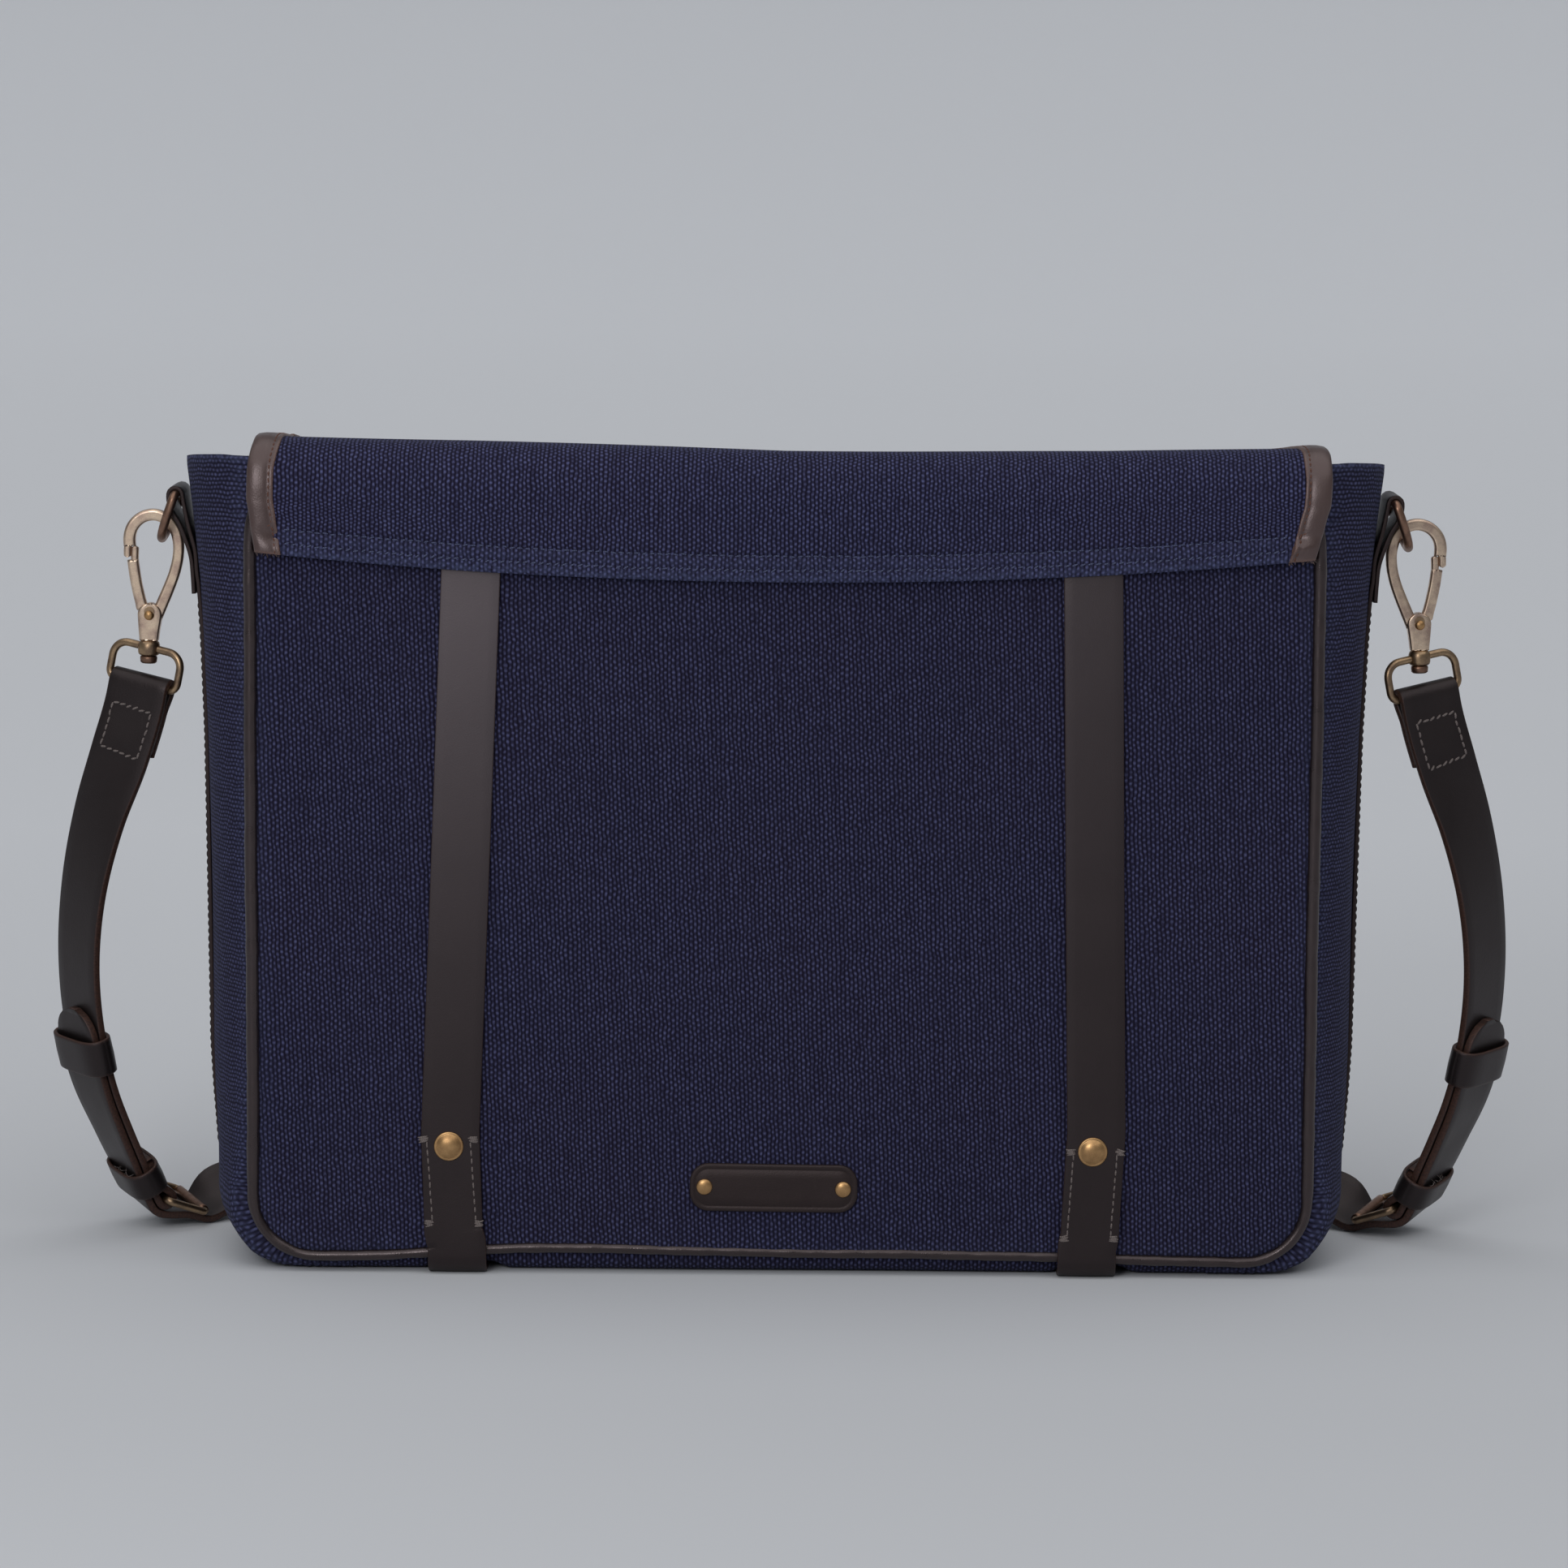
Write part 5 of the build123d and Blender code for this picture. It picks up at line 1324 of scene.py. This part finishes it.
class Section:
    """A section of the strap: where it is, across it, out of its outer face and along it."""

    def __init__(self, origin, along, across):
        self.origin = np.asarray(origin, float)
        self.along = unit(along)
        across = unit(across)
        self.across = unit(across - (across @ self.along) * self.along)
        self.out = np.cross(self.along, self.across)

    def moved(self, out=0.0, along=0.0):
        """This section shifted out of its face and along."""
        return Section(self.origin + self.out * out + self.along * along, self.along, self.across)

    def turned(self, degrees, centre):
        """This section swung round a bar across the strap through centre."""
        turn = np.array(Matrix.Rotation(math.radians(degrees), 3, Vector(self.across)))
        return Section(centre + turn @ (self.origin - centre), turn @ self.along, self.across)


loop_along = np.array([-math.sin(math.radians(LOOP_TILT)), 0, -math.cos(math.radians(LOOP_TILT))])
loop_top = HOOK_FOOT - hook_up * 2.5
loop_bar = Section(loop_top + loop_along * LOOP_HEIGHT, loop_along, width_way(TOP_YAW, 0))
start = loop_bar.moved(out=FOLD)
HEEL = np.array([-246.5, 31.0, 13.6])
buckle_along = unit(np.array([0.79, 0.50, -0.36]))
heel = Section(HEEL, buckle_along, width_way(54, 10))


def heel_turned(turn, out):
    """The strap at the heel bar, swung up from the buckle's plane."""
    c, s = math.cos(math.radians(turn)), math.sin(math.radians(turn))
    normal = heel.out * c - buckle_along * s
    return Section(HEEL + normal * out, buckle_along * c + heel.out * s, heel.across)


end = heel_turned(42.0, FOLD)
run_top = end.origin - end.along * END_RUN
HOOK_SIDE = [
    (-254.2, -3.0, 191, 22, 0),
    (-262.2, -1.0, 168, 34, 0),
    (-269.4, 3.0, 138, 44, 0),
    (-272.2, 7.5, 108, 48, 0),
    (-271.4, 10.5, 88, 49, 0),
    (-265.8, 17.0, 57, 51, 2),
    (-260.0, 21.0, 41, 53, 6),
    (*run_top, 55, 8),
]
FRONT_SIDE = [
    (-221.5, 49.0, 10.2, 55, 28),
    (-208.0, 62.0, 10.8, 50, 42),
    (-187.0, 84.0, 11.6, 45, 60),
    (-152.0, 113.0, 12.6, 45, 84),
    (-106.0, 137.0, 12.6, 45, 90),
    (-55.0, 150.0, 12.6, 45, 90),
]


def smooth_route(knots):
    """Route and widths of a strap through sections."""
    route, across = curve_through([k.origin for k in knots], 1.8, [k.across for k in knots])
    return route, unit(across)


def stations(rows):
    """Sections from rows of (x, y, z, turn, lean)."""
    points = np.array([r[:3] for r in rows])
    ways = unit(np.gradient(points, axis=0))
    return [Section(p, w, width_way(r[3], r[4])) for p, w, r in zip(points, ways, rows)]


main_knots = [start, start.moved(along=5), *stations(HOOK_SIDE), end.moved(along=-6), end]
main_line, main_across = smooth_route(main_knots)


def folded(section, centre, ahead):
    """Points of the strap's turn round a bar, between the section and the layer behind it."""
    fold = [section.turned(t, centre).origin for t in np.linspace(0, -180, 9)]
    if (fold[4] - centre) @ ahead < 0:
        fold = [section.turned(t, centre).origin for t in np.linspace(0, 180, 9)]
    return np.array(fold[1:-1])


def offset_line(route, across, out_by):
    """A route moved out of the strap's face."""
    return route + frames_of(route, across)[2] * np.asarray(out_by).reshape(-1, 1)


def behind_by(run, blend):
    """How far the under layer lies behind the strap at a distance from its fold."""
    return -(LAYER + (2 * FOLD - LAYER) * (1 - ease(run / blend)))


# the tail behind the strap at its top, then over the loop's bar, then down the whole side
reach = main_line[lengths(main_line) < 26]
behind = offset_line(reach, main_across[: len(reach)], behind_by(lengths(reach), 9))
over_top = folded(start, loop_bar.origin, -loop_along)[::-1]
# the same at the buckle's heel bar
near_end = lengths(main_line[-11:][::-1])[::-1]
under_heel = offset_line(main_line[-11:], main_across[-11:], behind_by(near_end, 7))[::-1]
round_heel = folded(end, HEEL, end.along)
whole = np.vstack([behind[::-1], over_top, main_line, round_heel, under_heel])
whole_across = np.vstack(
    [
        main_across[: len(reach)][::-1],
        np.tile(start.across, (len(over_top), 1)),
        main_across,
        np.tile(end.across, (len(round_heel) + len(under_heel), 1)),
    ]
)


def nearest(point):
    """Where on the main run a point lies."""
    return int(np.argmin(np.linalg.norm(main_line - point, axis=1)))


tongue_from = nearest(np.array([-271.0, 12.5, 92]))
tongue_across = main_across[tongue_from:]
tongue_line = offset_line(main_line[tongue_from:], tongue_across, LAYER + 0.05)
under = [heel_turned(t, FOLD + LAYER) for t in (30, 21, 10, 0)]
toe = []
for r in (6, 11, TOE_REACH, TOE_REACH + 3):
    rise = FOLD + 0.1 + (LAYER - 0.1) * (1 - ease(r / 15))
    toe.append(Section(HEEL + buckle_along * r + heel.out * rise, buckle_along, heel.across))
front_knots = under + toe + stations(FRONT_SIDE)
front_knots[-1].along = unit(np.array([1.0, 0.12, 0]))
half_line, half_across = smooth_route(
    front_knots + [Section((0, 154, 12.6), (1, 0, 0), width_way(45, 90))]
)
right_line, right_across = half_line[:-1][::-1] * [-1, 1, 1], half_across[:-1][::-1] * [-1, 1, 1]
mirror_across = -1 if (right_across[0] @ half_across[-1]) < 0 else 1
center_line = np.vstack([tongue_line, half_line, right_line, tongue_line[::-1] * [-1, 1, 1]])
center_across = np.vstack(
    [
        tongue_across, half_across, mirror_across * right_across,
        mirror_across * tongue_across[::-1] * [-1, 1, 1],
    ]
)
center_line, center_across = resample(center_line, 2.0, center_across)
SHOULDER = (SHOULDER_W, SHOULDER_T, SHOULDER_LEATHER)
center = strap(
    "Shoulder_strap_center", center_line, center_across, *SHOULDER, tips=(12, 12), soft=0.55,
)
put(center, "shoulder_strap", "strap_leather", "center_strap")

toe_bar = HEEL + buckle_along * TOE_REACH + heel.across * np.linspace(-12.6, 12.6, 12)[:, None]
for side_name, sign in SIDES:
    bar = tube(f"Buckle_toe_{side_name}", mirrored(toe_bar, sign), 2.05, COPPER)
    put(bar, "shoulder_strap", "antique_brass")


KEEPER_T = 1.5


def keeper(name, section, low, high, length, room=1.6):
    """A leather loop round the strap: an oval band with raw edges."""
    t = KEEPER_T / 2
    half = SHOULDER_W / 2 + room + t
    mid, rise = (low + high) / 2, (high - low) / 2 + t
    turn = np.linspace(0, 2 * math.pi, 72, endpoint=False)
    c, s = np.cos(turn), np.sin(turn)
    a = half * np.sign(c) * np.abs(c) ** 0.55
    b = mid + rise * np.sign(s) * np.abs(s) ** 0.8
    loop = section.origin + section.across * a[:, None] + section.out * b[:, None]
    inward = unit(grid(np.gradient(b), -np.gradient(a)))
    normal = section.across * inward[:, :1] + section.out * inward[:, 1:]
    if (loop[0] - section.origin) @ normal[0] < 0:
        normal = -normal
    w = length / 2
    half_ring = [
        (w - 1.2, t + 0.05, 0), (w - 0.35, t, 0.4), (w, t * 0.5, 1), (w, -t * 0.5, 1),
        (w - 0.35, -t, 0.4),
    ]
    mirror_ring = [(-a, b, e) for a, b, e in half_ring[::-1]]
    ring = np.array([*mirror_ring[1:], (0, t + 0.2, 0), *half_ring, mirror_ring[0]])
    points = loop[:, None] + section.along * ring[:, :1] + normal[:, None] * ring[:, 1:2]
    n, m = len(loop), len(ring)
    faces = grid_faces(n, m, around=True) + joined(n, m)
    uv = grid(ring[None, :, 0], lengths(loop)[:, None]).reshape(-1, 2)
    return add_mesh(
        name, points.reshape(-1, 3), faces, SHOULDER_LEATHER, uv, {"edge": np.tile(ring[:, 2], n)},
    )


def mirrored_section(section, sign):
    """The section on the other side, still with its outer face out."""
    if sign < 0:
        return section
    flip = np.array([-1, 1, 1])
    made = Section(section.origin * flip, section.along * flip, section.across * flip)
    made.out = section.out * flip
    return made


def section_at(point, reach):
    """The main run's own section nearest a point."""
    i = nearest(point)
    return Section(main_line[i], main_line[i + reach] - main_line[i - reach], main_across[i])


barrel_profile = [
    (2.2, -5.4), (3.4, -5.4), (3.9, -5.0), (4.15, -4.2), (4.25, -2.6), (4.1, -1.2),
    (3.75, -0.3), (3.1, 0.2), (2.2, 0.25),
]
slide = section_at(np.array([-268.8, 13.9, 72.8]), 2)
fixed = section_at(end.moved(along=-11).origin, 1)
face = SHOULDER_T / 2
BOX_SEAM = 8.3  # the box stitches' distance from the strap's middle
for side_name, sign in SIDES:
    flip = np.array([-sign, 1, 1])
    across = whole_across * flip * (1 if sign < 0 else -1)
    run = strap(f"Shoulder_strap_end_{side_name}", whole * flip, across, *SHOULDER, soft=0.55)
    put(run, "shoulder_strap", "strap_leather", f"strap_end_{side_name}")
    for stem, section, low, high, length, body in (
        ("sliding_keeper", slide, -1.7, LAYER + 1.9, 14.5, f"sliding_keeper_{side_name}"),
        ("fixed_keeper", fixed, -LAYER - 0.8, LAYER + 1.6, 11.0, "shoulder_strap"),
    ):
        section = mirrored_section(section, sign)
        name = f"{stem.capitalize()}_loop_{side_name}"
        loop = keeper(name, section, low - face, high + face, length)
        put(loop, body, "strap_leather", f"{stem}_{side_name}")
    # box of stitches that closes the top fold
    box = Thread(f"Shoulder_stitches_{side_name}", GREY_THREAD, 0.44)
    at = lengths(main_line)
    first, last = int(np.argmin(abs(at - 9))), int(np.argmin(abs(at - 27)))
    _, ways, outs = frames_of(main_line, main_across)
    skin, rows = main_line + outs * face, slice(first, last + 1)
    for edge in (-BOX_SEAM, BOX_SEAM):
        box.run((skin + ways * edge)[rows] * flip, outs[rows] * flip, 2.9, 2.5, jitter=0.12)
    for row in (first, last):
        line = skin[row] + ways[row] * np.linspace(-BOX_SEAM, BOX_SEAM, 6)[:, None]
        box.run(line * flip, outs[row] * flip, 2.8, 2.5, 22, jitter=0.16)
    # and whiskers of thread at the fixed keeper
    for _ in range(9):
        spot = fixed.origin + fixed.across * rng.uniform(-12, 12) - fixed.along * 6
        spot = spot + fixed.out * (LAYER + 2.2)
        way = unit(rng.normal(0, 1, 3))
        box.stitch(spot * flip, way, fixed.out * flip, rng.uniform(2, 4.5), 1.2, 0.11)
    put(box.done(), "shoulder_strap", "strap_leather")

    # swivel loop: a bent wire with its barrel and the hook's post head
    frame_at = Section(loop_top, loop_along, width_way(TOP_YAW, 0))
    flat = []
    for side, r, low, first, count in (
        (-1, 5.8, 0, 180, 9), (1, 5.8, 0, 270, 9), (1, 3.4, 1, 0, 7), (-1, 3.4, 1, 90, 7),
    ):
        centre = (side * (LOOP_HALF - r), LOOP_HEIGHT - r if low else r)
        flat += list(arc(centre, r, first, first + 90, count))
    flat = resample(np.array([*flat, flat[0]]), 0.9)[:-1]
    wire = frame_at.origin + frame_at.across * flat[:, :1] + frame_at.along * flat[:, 1:]
    loop = tube(f"Swivel_wire_{side_name}", wire * flip, WIRE_R, BRASS, 18, closed=True)
    put(loop, "shoulder_strap", "antique_brass", f"swivel_loop_{side_name}")
    barrel = lathe(
        f"Swivel_barrel_{side_name}", [HOOK_FOOT * flip], barrel_profile, hook_up * flip, BRASS,
    )
    put(barrel, "shoulder_strap", "antique_brass")


# ---- closures on the front of the flap -------------------------------------------------
CLOSE_T = 1.8
STRAP_MID = 58.25  # middle of a closure strap's outer layer
CLOSE_SEAM = 8.8  # the stitches' distance from the strap's middle
close_route = np.vstack(
    [
        [(STRAP_MID, 178), (STRAP_MID, 146), (59.6, 140), (60.95, 134), (60.95, 130)],
        arc((58.8, 130), 2.15, 0, -180, 11)[1:],
        [(56.65, 133), (56.4, 140), (56.4, 178)],
    ]
)
tongue_route = np.array(
    [
        (57.25, 38), (57.25, 60), (57.25, 92), (56.6, 101), (56.55, 110), (58.9, 116.5),
        (62.4, 124), (62.9, 132), (62.6, 139), (61.7, 147), (61.65, 166),
    ]
)
for side_name, sign in SIDES:
    x = sign * STRAP_X
    for name, flat, tips in (
        (f"Closure_strap_{side_name}", close_route, (0, 0)),
        (f"Closure_tongue_{side_name}", tongue_route, (6, 10.5)),
    ):
        fine = curve_through(flat, 1.0)
        route = grid(x, fine[:, 0], fine[:, 1])
        made = strap(name, route, ALONG_X, STRAP_W, CLOSE_T, BODY_LEATHER, tips=tips, soft=0.4)
        put(made, "flap_front", "closure_leather", name.lower())
    where = Section((x, STRAP_MID, 158), (0, 0, 1), (-1, 0, 0))
    room = 0.5 - (SHOULDER_W - STRAP_W) / 2
    loop = keeper(f"Closure_keeper_{side_name}", where, -2.2, 4.6, 10, room=room)
    put(loop, "flap_front", "closure_leather", "closure_keepers")
    seam = Thread(f"Closure_stitches_{side_name}", BROWN_THREAD, 0.26)
    for edge in (-1, 1):
        for middle, low, high, count in ((STRAP_MID, 149, 176, 20), (57.25, 42, 92, 30)):
            line = grid(x + edge * CLOSE_SEAM, middle + CLOSE_T / 2, np.linspace(low, high, count))
            seam.sew(line, (0, 1, 0))
    for z in (149, 176):
        for edge in (-CLOSE_SEAM, CLOSE_SEAM):
            seam.tack((x + edge, STRAP_MID + CLOSE_T / 2, z), ALONG_X, (0, 1, 0), 3.5)
    put(seam.done(), "flap_front", "closure_leather")


# ---- inside the bag --------------------------------------------------------------------
LINING_TOP = span("lining")[1][2]
LINING_T = 0.7


def lining_sheet(name, patch, thickness=LINING_T, flip=False, *nodes):
    """A sheet of lining cloth."""
    made = sheet(name, [patch], LINING_CLOTH, thickness, flip)
    return put(made, "bag", "lining_cloth", *nodes)


def tape(name, route, radius, sides=16):
    """A bound edge of the lining, a pocket or the sleeve."""
    put(tube(name, route, radius, TAPE_CLOTH, sides), "bag", "lining_cloth")


depth = CLOTH_T + 0.5
back_lining = panel_grid(-1, BACK_WAVE, inset=3.2, top=LINING_TOP, depth=depth)
lining_sheet("Lining_back", back_lining, LINING_T, False, "lining")
front_lining = panel_grid(1, FRONT_WAVE, inset=3.2, top=LINING_TOP, depth=depth)
lining_sheet("Lining_front", front_lining, flip=True)
for side_name, sign in SIDES:
    side_lining = gusset_grid(sign, inset=GUSSET_T + 0.5, top=LINING_TOP, seams=False)
    lining_sheet(f"Lining_side_{side_name}", side_lining, flip=sign > 0)
floor_x = np.linspace(-1, 1, 80)[None, :] * (CORNER_X - 4)
floor_y = np.linspace(-1, 1, 40)[:, None] * (GUSSET_HALF - 3)
floor_grid = grid(floor_x, floor_y, 6.6 + 0.25 * np.sin(floor_x / 21) * np.cos(floor_y / 13))
lining_sheet("Lining_floor", (floor_grid, floor_grid[..., :2], 0.0))

sleeve_low, sleeve_high = span("laptop_sleeve")


def quilted(x, z):
    """Depth of the sleeve's padding between its sewn channels."""
    a = np.abs(np.sin((x + z) * math.pi / 54)) ** 0.6
    b = np.abs(np.sin((x - z) * math.pi / 54)) ** 0.6
    beside = np.minimum(x - sleeve_low[0], sleeve_high[0] - x)
    rim = np.clip(np.minimum(beside, np.minimum(z - sleeve_low[2], sleeve_high[2] - z)) / 7, 0, 1)
    return 1.1 * np.minimum(a, b) * rim


pad_x = np.linspace(sleeve_low[0] + 1, sleeve_high[0] - 1, 180)[None, :]
pad_z = np.linspace(sleeve_low[2] + 0.5, sleeve_high[2] - 1, 130)[:, None]
pad_face = grid(pad_x, -20.6 + quilted(pad_x, pad_z), pad_z)
pad = lining_sheet(
    "Laptop_sleeve_pad", (pad_face, pad_face[..., ::2], 0.0), 3.0, True, "laptop_sleeve",
)
hem_x = np.linspace(sleeve_low[0] + 1, sleeve_high[0] - 1, 90)
tape("Laptop_sleeve_hem", grid(hem_x, -21.8, sleeve_high[2] - 2.2), 2.0)
for side_name, sign in SIDES:
    wall_y = np.linspace(-45.2, -21.0, 14)[None, :]
    wall_z = np.linspace(sleeve_low[2], sleeve_high[2] - 2, 60)[:, None]
    wall = grid(sign * (sleeve_high[0] - 2.2 + 0.5 * np.sin(wall_z / 19)), wall_y, wall_z)
    lining_sheet(f"Laptop_sleeve_side_{side_name}", (wall, wall[..., 1:], 0.0), 1.0, sign > 0)

pocket_low, pocket_high = span("inner_pocket")
px = np.linspace(pocket_low[0] + 0.6, pocket_high[0] - 0.6, 110)[None, :]
pz = np.linspace(pocket_low[2] + 0.5, pocket_high[2] - 0.8, 80)[:, None]
close_in = np.clip(np.minimum(px - pocket_low[0], pocket_high[0] - px) / 9, 0, 1)
close_in = close_in * np.clip((pz - pocket_low[2]) / 9, 0, 1)
py = 45.0 - 8.6 * ease(close_in) ** 0.8 - 0.4 * np.sin(px / 17 + pz / 29) * close_in
pocket_face = grid(px, py, pz)
lining_sheet(
    "Inner_pocket_front", (pocket_face, pocket_face[..., ::2], 0.0), 0.8, False, "inner_pocket",
)
tape("Inner_pocket_hem", grid(px[0], py[-1] + 0.4, pocket_high[2] - 1.6), 1.4)
for name, y in (("back", BACK_Y + CLOTH_T + 0.9), ("front", FRONT_Y - CLOTH_T - 0.9)):
    x = np.linspace(-HALF_W + 3, HALF_W - 3, 160)
    tape(f"Lining_tape_{name}", grid(x, y + 0.3 * np.sin(x / 29), LINING_TOP + 0.5), 0.9, 8)


# ---- camera, light and floor -----------------------------------------------------------
IMAGE_PX = 1932
FOCAL_PX = 6333  # focal length for that image width
EYE = Vector((0.0, -1.955, 0.4487))
LOOK_AT = Vector((0.0003, -0.050, 0.188))
ROLL = math.radians(0.45)
KEY_AT, KEY_AIM = Vector((-0.55, -1.6, 0.82)), Vector((0, 0, 0.2))

camera = bpy.data.cameras.new("Camera")
camera.sensor_width = 36
camera.lens = FOCAL_PX / IMAGE_PX * camera.sensor_width
camera_object = bpy.data.objects.new("Camera", camera)
bpy.context.scene.collection.objects.link(camera_object)
forward = (LOOK_AT - EYE).normalized()
right = forward.cross(Vector((0, 0, 1))).normalized()
upward = right.cross(forward)
tipped_right = right * math.cos(ROLL) + upward * math.sin(ROLL)
tipped_up = tipped_right.cross(forward)
turned = Matrix((tipped_right, tipped_up, -forward)).transposed()
camera_object.matrix_world = Matrix.Translation(EYE) @ turned.to_4x4()
bpy.context.scene.camera = camera_object
bpy.context.scene.view_settings.view_transform = "Standard"

FLOOR_SHADE = (0.745, 0.768, 0.808)
# painted shade: the floor is painted darker towards the front, in place of the light falling off
# there
NEAR_PAINTED_SHADE = tuple(0.835 * c for c in FLOOR_SHADE)
pale = Shader("Pale_floor", Roughness=0.95, Specular_IOR_Level=0.1)
_, depth, _ = pale.split(pale.place())
pale.colour(pale.mix(pale.stretch(depth, -250, 1100), NEAR_PAINTED_SHADE, FLOOR_SHADE))
sweep = filleted([(-9000, 0), (12000, 0), (12000, 9000)], 4500, 300)
floor_points = np.array([(x, y, z) for y, z in sweep for x in (-12000, 0, 12000)])
floor = add_mesh("Floor", floor_points, grid_faces(len(sweep), 3, flip=True), pale.material)

key = bpy.data.lights.new("Key", "AREA")
key.shape, key.size, key.size_y, key.energy = "RECTANGLE", 0.55, 0.55, 7
key_object = bpy.data.objects.new("Key", key)
key_object.location = KEY_AT
key_object.rotation_mode = "QUATERNION"
key_object.rotation_quaternion = (KEY_AIM - KEY_AT).to_track_quat("-Z", "Y")
bpy.context.scene.collection.objects.link(key_object)
sun = bpy.data.lights.new("Overhead", "SUN")
sun.energy, sun.angle, sun.color = 1.28, math.radians(90), (1.0, 0.99, 0.98)
sun_object = bpy.data.objects.new("Overhead", sun)
sun_object.rotation_euler = (math.radians(16), math.radians(1), 0)
bpy.context.scene.collection.objects.link(sun_object)
world = bpy.data.worlds.new("Studio")
bpy.context.scene.world = world
world.use_nodes = True
background = world.node_tree.nodes["Background"].inputs
background["Color"].default_value = (0.93, 0.96, 1.0, 1)
background["Strength"].default_value = 0.2
